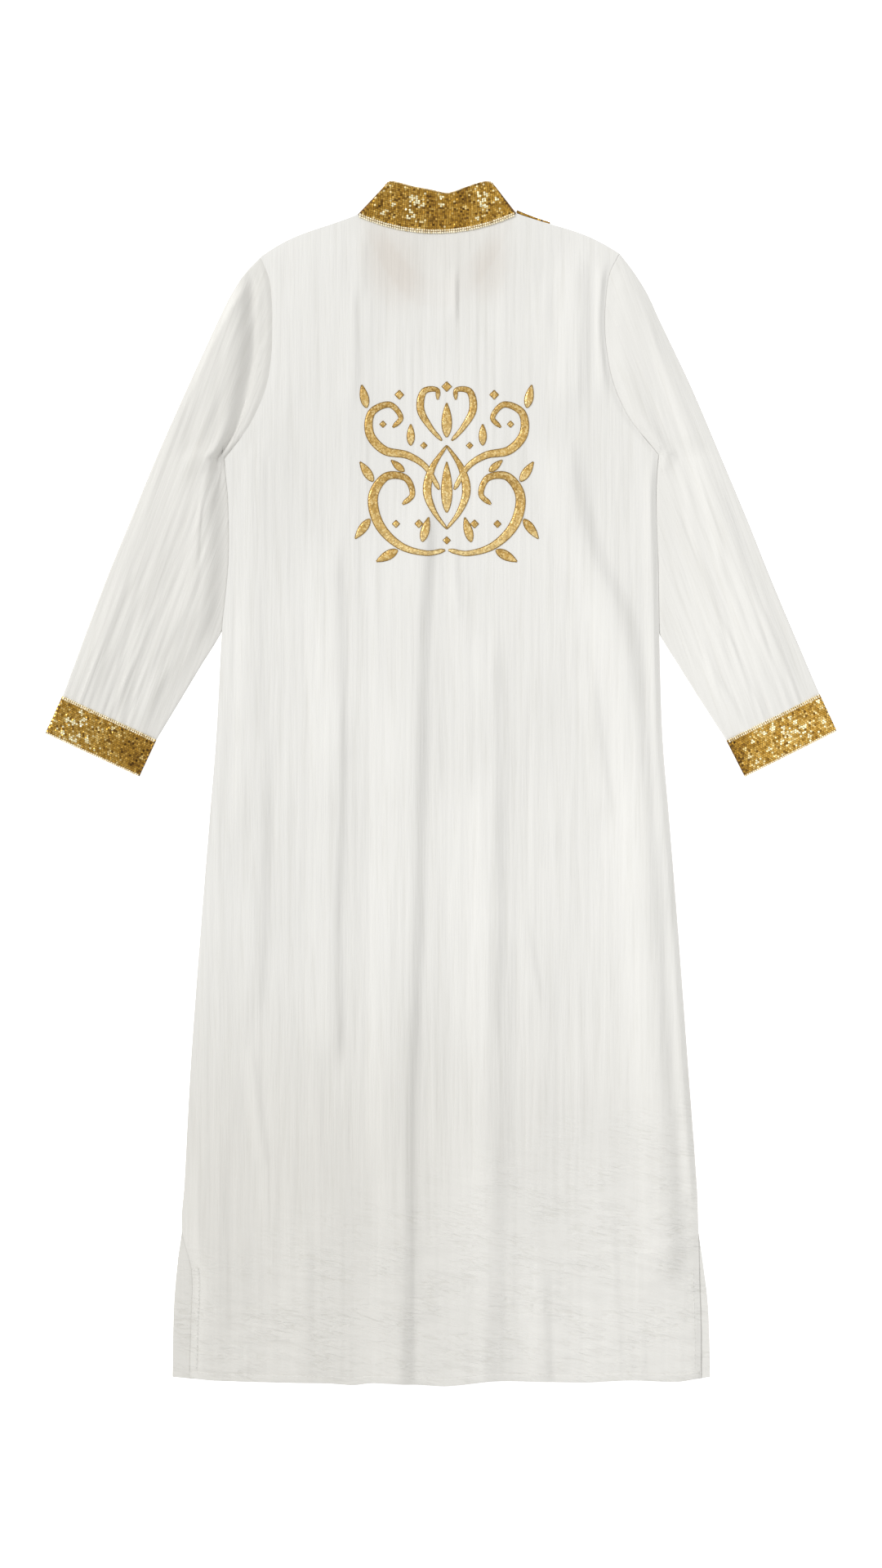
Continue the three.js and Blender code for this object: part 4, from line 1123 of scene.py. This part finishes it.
def sewSequins(name, plan, level, lights, dark, slopes, gold=0.0):
    tiltX = slopes[0] + sequins["tilt"] * rng.standard_normal(len(plan))
    tiltY = slopes[1] + sequins["tilt"] * rng.standard_normal(len(plan))
    centres = np.column_stack([plan, level + sequins["lift"] * rng.random(len(plan))])
    form, faces = discForm(sequins["sides"], sequins["dish"])
    size = np.tile([sequins["radius"], sequins["radius"], sequins["thick"]], (len(plan), 1))
    placed, copied = scatter(form, faces, centres, tiltedAxes(tiltX, tiltY), size)
    flake = np.repeat(sequinFlashAt(plan[:, 0], plan[:, 1], lights, dark, gold), len(form))
    return addPiece(name, placed, copied, sequin, {"flake": flake}, sharp=30)


def quadPlan(seamEdge, freeEdge, inset):
    # staggered sequin places on a band between two edges, both as functions of 0..1
    fine = np.linspace(0, 1, 60)
    seamRun, freeRun = seamEdge(fine), freeEdge(fine)
    depth = np.linalg.norm(freeRun - seamRun, axis=1).mean()
    rows = max(2, int((depth - 2 * inset) / sequins["row"]))
    places = []
    for row in range(rows + 1):
        share = (inset + (depth - 2 * inset) * row / rows) / depth
        line = mix(seamRun, freeRun, share)
        first, last = inset + (row % 2) * sequins["pitch"] / 2, lengthAlong(line)[-1] - inset * 0.8
        marks = np.arange(first, last, sequins["pitch"])
        marks = marks + rng.uniform(-sequins["jitter"], sequins["jitter"], len(marks))
        places.append(pointsAlong(line, marks))
    return np.concatenate(places)


def collarSeamLine(t):
    return collarEdge(mix(-collar["end"], collar["end"], t), False)[0]


def collarTopLine(t):
    return collarEdge(mix(-collar["end"], collar["end"], t), False)[1]


collarPlan = quadPlan(collarSeamLine, collarTopLine, 1.2)
collarSequins = sewSequins(
    "collarSequins", collarPlan, 2 * collar["outer"], collarLights, collarShadeBands, (0, -0.06), 0.06,
)


def stringBeads(name, lines, radius, pitch, shade):
    # rows of seed beads along plan lines, each with its own level
    form, faces = beadForm()
    centres = []
    for line, level in lines:
        run = lengthAlong(line)
        marks = np.arange(pitch / 2, run[-1], pitch)
        heights = np.interp(marks, run, np.broadcast_to(level, len(line)))
        centres.append(np.column_stack([pointsAlong(line, marks), heights]))
    centres = np.concatenate(centres)
    jitter = rng.uniform(-0.12, 0.12, centres.shape)
    size = radius * rng.uniform(0.88, 1.1, (len(centres), 1)) * np.ones((1, 3))
    axes = np.tile(np.eye(3), (len(centres), 1, 1))
    placed, copied = scatter(form, faces, centres + jitter, axes, size)
    flake = np.repeat(np.clip(shade + 0.22 * rng.standard_normal(len(centres)), 0, 1), len(form))
    return addPiece(name, placed, copied, bead, {"flake": flake}, sharp=60)


fineShare = np.linspace(0, 1, 80)
seamLine = collarSeamLine(fineShare)
topLine = collarTopLine(fineShare)
beadLevel = 2 * collar["outer"] + 0.3
collarBeads = stringBeads(
    "collarBeads",
    [(seamLine - [0, 1.2], beadLevel), (seamLine + [0, 1.5], beadLevel + 0.2)], 1.45, 2.8, 0.95,
)
topBeads = stringBeads("collarTopBeads", [(topLine - [0, 0.7], beadLevel)], 1.0, 2.1, 0.4)
print("collar sewn")

# cuffs

# each cuff: its gold lifts its sequins towards their painted flash, and its shade is a strip of painted shade
# across them, x and half width
cuffs = [
    {"name": "leftCuff", "node": "cuff_left", "lights": leftCuffLights, "shade": (-372, 26), "gold": 0.14,
     "seamOuter": (-463.2, 107.6), "seamInner": (-348.2, 54), "freeOuter": (-484, 62.2),
     "freeInner": (-369, 9.4)},
    {"name": "rightCuff", "node": "cuff_right", "lights": rightCuffLights, "shade": (362, 13), "gold": 0.135,
     "seamOuter": (463.2, 110), "seamInner": (349.2, 53), "freeOuter": (484, 65),
     "freeInner": (371.6, 9)},
]
cuffSize = {"wall": 1.2, "top": 4.4, "middle": 2.1, "puff": 1.3, "fold": 3.4, "stations": 26, "rings": 10}


def buildCuff(entry):
    seamOuter, seamInner, freeOuter, freeInner = (
        np.array(entry[key], float) for key in ("seamOuter", "seamInner", "freeOuter", "freeInner"))
    share = np.linspace(0, 1, cuffSize["rings"])[:, None]
    outer, inner = mix(seamOuter, freeOuter, share), mix(seamInner, freeInner, share)
    width = np.linalg.norm(seamInner - seamOuter)
    fold = cuffSize["fold"]
    near = np.array([0, 0.25, 0.9, 2.0, fold]) / width
    t = np.concatenate([near, np.linspace(0.06, 0.94, cuffSize["stations"]), 1 - near[::-1]])
    plan = mix(outer[:, None], inner[:, None], t[None, :, None])
    reach = np.clip(np.minimum(t, 1 - t) * width / fold, 0, 1)
    rounded = np.sqrt(1 - (1 - reach) ** 2)[None]
    top = cuffSize["top"] + cuffSize["puff"] * np.sin(np.pi * t)[None] + 0 * share
    middle, wall = cuffSize["middle"], cuffSize["wall"]
    across = unit(inner - outer)[:, None]
    inset = (wall * np.clip(1 - reach, 0, 1) * np.sign(0.5 - t))[None, :, None]

    def ring(planAt, topAt, lowAt):
        upper = np.concatenate([planAt, mix(middle, topAt, rounded)[..., None]], -1)
        under = np.concatenate([planAt, (mix(middle, lowAt, rounded) + 0 * share)[..., None]], -1)
        return np.concatenate([upper, under[:, -2:0:-1]], 1)
    points, faces = tubeMesh(ring(plan, top, 0), ring(plan + across * inset, top - wall, wall))
    band = addPiece(entry["name"] + "Band", points, faces, ground, node=entry["node"])

    def seamEdge(at):
        return mix(seamOuter, seamInner, at[:, None])

    def freeEdge(at):
        return mix(freeOuter, freeInner, at[:, None])
    places = quadPlan(seamEdge, freeEdge, 1.3)
    # the sequins follow the band's crown and turn down at its folded ends
    way = (seamInner - seamOuter) / width
    place = (places - seamOuter) @ way / width
    level = cuffSize["top"] + cuffSize["puff"] * np.sin(np.pi * np.clip(place, 0, 1))
    edgeDrop = np.clip(1 - np.minimum(place, 1 - place) * width / 3.0, 0, 1)
    level = level - 1.6 * edgeDrop ** 2
    slope = -cuffSize["puff"] * np.pi / width * np.cos(np.pi * place) + np.sign(place - 0.5) * edgeDrop * 0.8
    slopes = (slope * way[0], slope * way[1])
    name = entry["name"]
    laid = sewSequins(
        name + "Sequins", places, level, entry["lights"], [entry["shade"]], slopes, entry["gold"],
    )
    line = np.linspace(0.01, 0.99, 70)
    rise = cuffSize["top"] + cuffSize["puff"] * np.sin(np.pi * line) + 0.4
    away = unit(freeOuter - seamOuter)
    beads = stringBeads(name + "Beads", [
        (seamEdge(line) + away * 0.6, rise), (seamEdge(line) + away * 2.7, rise + 0.2),
        (freeEdge(line) - away * 0.9, rise),
    ], 1.4, 2.7, 0.85)
    # darker beads close the outer end
    outerLine = mix(seamOuter, freeOuter, np.linspace(0.03, 0.97, 20)[:, None]) + way * 0.4
    endBeads = stringBeads(name + "EndBeads", [(outerLine, 3.0)], 1.0, 2.1, 0.12)
    return [band, laid, beads, endBeads]


leftCuff = buildCuff(cuffs[0])
rightCuff = buildCuff(cuffs[1])
print("cuffs sewn")

# gold edging beside the right shoulder seam

edging = {"from": 93.0, "to": 133.0, "wide": (4.2, 1.4), "wall": 1.5}


def buildEdging():
    share = np.linspace(0, 1, 24)[:, None]
    x = mix(edging["from"], edging["to"], share) + 0 * share
    wide = mix(*edging["wide"], share) * np.linspace(0, 1, 4)[None]
    x = np.broadcast_to(x, wide.shape)
    y = shoulderY(x) + cut["gap"] + wide
    upper = np.stack([x, y, 0 * x + edging["wall"]], -1)
    points, faces = shellMesh(upper, upper * [1, 1, 0])
    strip = addPiece("shoulderEdging", points, faces, ground, node="shoulder_edging")
    marks = np.linspace(0.02, 0.98, 18)
    spotX = mix(edging["from"], edging["to"], marks)
    half = mix(*edging["wide"], marks) * 0.5
    plan = np.stack([spotX, shoulderY(spotX) + cut["gap"] + half], -1)
    laid = sewSequins("edgingSequins", plan, edging["wall"], [], [], (0, 0.2))
    return [strip, laid]


edgingPieces = buildEdging()

# embroidery on the upper back

motif = {"centre": (7.0, 384.0), "rise": 1.15, "sink": 0.25, "step": 2.2, "cord": 0.52, "cordLift": 0.3}
# half of the pattern: path from the centre line, width at its start, middle and end
strokes = [
    {"path": [(2, -98), (26, -102), (58, -92), (83, -66), (90, -32), (74, -8), (50, -10), (42, -30),
              (54, -42)],
     "width": (5, 11.5, 5.5)},
    {"path": [(9, -24), (26, 4), (48, 18), (76, 24), (94, 44), (92, 70), (70, 80), (56, 64), (66, 52)],
     "width": (5, 10, 5)},
    {"path": [(6, 36), (20, 52), (32, 74), (28, 96), (12, 98), (11, 86)], "width": (4, 8.5, 4.5)},
    {"path": [(0, -72), (16, -50), (24, -26), (18, 2), (0, 30)], "width": (3, 9.5, 3)},
]
# pointed leaves: base, tip and width
leaves = [
    {"from": (60, -98), "to": (86, -112), "width": 11}, {"from": (94, -60), "to": (112, -84), "width": 10},
    {"from": (90, -14), "to": (106, 10), "width": 10}, {"from": (30, -88), "to": (22, -58), "width": 10},
    {"from": (98, 76), "to": (104, 104), "width": 10}, {"from": (44, 30), "to": (44, 56), "width": 9},
    {"from": (52, -2), "to": (68, 12), "width": 8},
]
middleLeaves = [
    {"from": (0, -52), "to": (0, 10), "width": 13}, {"from": (0, 40), "to": (0, 82), "width": 12},
]
diamonds = [(58, 92, 11), (34, -66, 10), (62, -66, 9), (28, 30, 8), (78, 56, 8)]
middleDiamonds = [(0, 102, 12), (0, -86, 9)]


def smoothPath(points, step):
    # an even curve through control points
    points = np.array(points, float)
    key = lengthAlong(points)
    fine = np.linspace(0, key[-1], max(3, int(key[-1] / 0.8)))
    rows = np.column_stack([key, points])
    if len(points) > 2:
        curve = np.stack([through(rows, fine, 1), through(rows, fine, 2)], -1)
    else:
        curve = mix(points[0], points[1], np.linspace(0, 1, len(fine))[:, None])
    whole = lengthAlong(curve)[-1]
    return pointsAlong(curve, np.linspace(0, whole, max(4, int(whole / step)) + 1))


def ribbonAt(path, half):
    # a domed stroke that lies on the back, and the two lines of its edges
    along = unit(np.gradient(path, axis=0))
    side = np.stack([-along[:, 1], along[:, 0]], -1)
    offsets = np.array([-1, -0.86, -0.45, 0, 0.45, 0.86, 1, 0.7, -0.7])
    lift = np.array([0, 0.62, 0.95, 1, 0.95, 0.62, 0, -0.2, -0.2])
    plan = path[:, None] + side[:, None] * (offsets[None] * half[:, None])[..., None]
    base = backTop(plan[..., 0], plan[..., 1])
    rise = motif["rise"] * np.minimum(1, half / 3)[:, None] * np.maximum(lift, 0)
    level = base + np.where(lift < 0, -motif["sink"], rise)
    rings = np.concatenate([plan, level[..., None]], -1)
    count, around = rings.shape[:2]
    faces = ringFaces(count, around)
    fan = np.array([[0, i, i + 1] for i in range(1, around - 1)])
    triangles = np.concatenate([
        faces[:, [0, 1, 2]], faces[:, [0, 2, 3]], fan[:, ::-1], fan + (count - 1) * around,
    ])
    run = lengthAlong(path)
    grain = np.stack([
        offsets[None] * half[:, None], np.broadcast_to(run[:, None], plan.shape[:2]), 0 * plan[..., 0],
    ], -1).reshape(-1, 3) * metre
    rails = [path + side * half[:, None], path - side * half[:, None]]
    return rings.reshape(-1, 3), triangles, grain, rails


def cordAt(path):
    # a thin round cord along a line on the back
    along = unit(np.gradient(path, axis=0))
    side = np.stack([-along[:, 1], along[:, 0]], -1)
    turn = np.arange(5) * 2 * math.pi / 5 + 0.3
    plan = path[:, None] + side[:, None] * (motif["cord"] * np.cos(turn))[None, :, None]
    base = backTop(path[:, 0], path[:, 1])[:, None]
    level = base + motif["cordLift"] + motif["cord"] * np.sin(turn)[None]
    rings = np.concatenate([plan, level[..., None]], -1)
    count, around = rings.shape[:2]
    quads = ringFaces(count, around)
    last = (count - 1) * around
    caps = np.array([[0, 2, 1], [0, 3, 2], [0, 4, 3], [last, last + 1, last + 2], [last, last + 2, last + 3],
                     [last, last + 3, last + 4]])
    triangles = np.concatenate([quads[:, [0, 1, 2]], quads[:, [0, 2, 3]], caps])
    return rings.reshape(-1, 3), triangles


def buildEmbroidery():
    jobs = []
    for entry in strokes:
        path = smoothPath(entry["path"], motif["step"])
        t = np.linspace(0, 1, len(path))
        start, middle, end = entry["width"]
        width = np.where(t < 0.5, mix(start, middle, smooth(t * 2)), mix(middle, end, smooth(t * 2 - 1)))
        ends = np.clip(np.minimum(t, 1 - t) * len(path) / 2.5, 0.12, 1) ** 0.6
        jobs += [(path * [hand, 1], width * ends / 2) for hand in (1, -1)]
    for entry in leaves + middleLeaves:
        path = smoothPath([entry["from"], entry["to"]], motif["step"])
        t = np.linspace(0, 1, len(path))
        half = entry["width"] / 2 * np.maximum(np.sin(np.pi * t ** 0.8), 0.05) ** 0.8
        hands = (1,) if entry in middleLeaves else (1, -1)
        jobs += [(path * [hand, 1], half) for hand in hands]
    for x, y, size in diamonds + middleDiamonds:
        path = np.stack([np.full(9, float(x)), y + size / 2 * np.linspace(-1, 1, 9)], -1)
        half = size / 2 * np.maximum(1 - np.abs(np.linspace(-1, 1, 9)), 0.05)
        hands = (1,) if x == 0 else (1, -1)
        jobs += [(path * [hand, 1], half) for hand in hands]
    parts, cords, grains, flakes = [], [], [], []
    for path, half in jobs:
        path = path + motif["centre"]
        points, faces, grain, rails = ribbonAt(path, half)
        parts.append((points, faces))
        grains.append(grain + rng.uniform(0, 0.5, (1, 3)))
        level = (path[:, 1].max() - points[:, 1]) / max(np.ptp(points[:, 1]), 20)
        flakes.append(np.clip(0.15 + 0.8 * level + 0.08 * rng.standard_normal(len(points)), 0, 1))
        cords += [cordAt(rail) for rail in rails]

    def joined(meshes):
        start = np.cumsum([0] + [len(points) for points, _ in meshes[:-1]])
        return (np.concatenate([points for points, _ in meshes]),
                np.concatenate([faces + shift for (_, faces), shift in zip(meshes, start)]))
    points, faces = joined([(p, facesOutward(p, f)) for p, f in parts])
    values = {"grain": np.concatenate(grains), "flake": np.concatenate(flakes)}
    fill = addPiece("embroideryFill", points, faces, goldThread, values, sharp=70)
    points, faces = joined([(p, facesOutward(p, f)) for p, f in cords])
    outline = addPiece("embroideryCords", points, faces, cordGold,
                       {"grain": points * metre}, sharp=70)
    return [fill, outline]


embroidery = buildEmbroidery()
print("embroidery laid")

# the floor: a light table under the garment

# the table's half width, and how far below the cloth it lies so that the two faces don't flicker, in metres
table = {"half": 6.0, "below": 0.0004}
corners = [
    (x * table["half"], y * table["half"], -table["below"]) for x, y in ((-1, -1), (1, -1), (1, 1), (-1, 1))
]
floor = bpy.data.objects.new("floor", bpy.data.meshes.new("floor"))
floor.data.from_pydata(corners, [], [(0, 1, 2, 3)])
floor.data.materials.append(floorMaterial())
bpy.context.scene.collection.objects.link(floor)

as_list(leftCuff[1:])
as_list(rightCuff[1:])

# light and camera

scene = bpy.context.scene
scene.view_settings.view_transform = "Standard"
light = {
    "elevation": 34, "fromLeft": 28, "sun": 1.75, "sunSize": 16, "ambient": 0.9, "fill": 9.0,
    "fillAt": (1.1, 0.35, 1.9), "fillSize": 1.6,
}

sunData = bpy.data.lights.new("key", "SUN")
sunData.energy = light["sun"]
sunData.angle = math.radians(light["sunSize"])
sun = bpy.data.objects.new("key", sunData)
sun.rotation_euler = (0, -math.radians(90 - light["elevation"]), -math.radians(light["fromLeft"]))
scene.collection.objects.link(sun)

# a broad soft lamp above the right shoulder lifts that side a little
fillData = bpy.data.lights.new("fill", "AREA")
fillData.size = light["fillSize"]
fillData.energy = light["fill"]
fill = bpy.data.objects.new("fill", fillData)
fill.location = light["fillAt"]
scene.collection.objects.link(fill)

world = bpy.data.worlds.new("studio")
world.use_nodes = True
tree = world.node_tree
sky = addNode(tree, "TexCoord").outputs["Generated"]
height = addNode(tree, "SeparateXYZ", {"Vector": sky}).outputs["Z"]
# dimmer straight above, so that level sequins look deep gold and tilted ones flash
dome = addNode(tree, "ValToRGB", {"Fac": height}, [
    (0.0, "#ffffff"), (0.8, "#ffffff"), (0.97, "#c9c9c9"), (1.0, "#b8b8b8"),
])
setInputs(tree, tree.nodes["Background"], {"Color": dome, "Strength": light["ambient"]})
scene.world = world

cameraData = bpy.data.cameras.new("camera")
cameraData.lens = 85
cameraData.sensor_width = 36
camera = bpy.data.objects.new("camera", cameraData)
camera.location = (0, 0, 4.533)
scene.collection.objects.link(camera)
scene.camera = camera
print("lights and camera set")
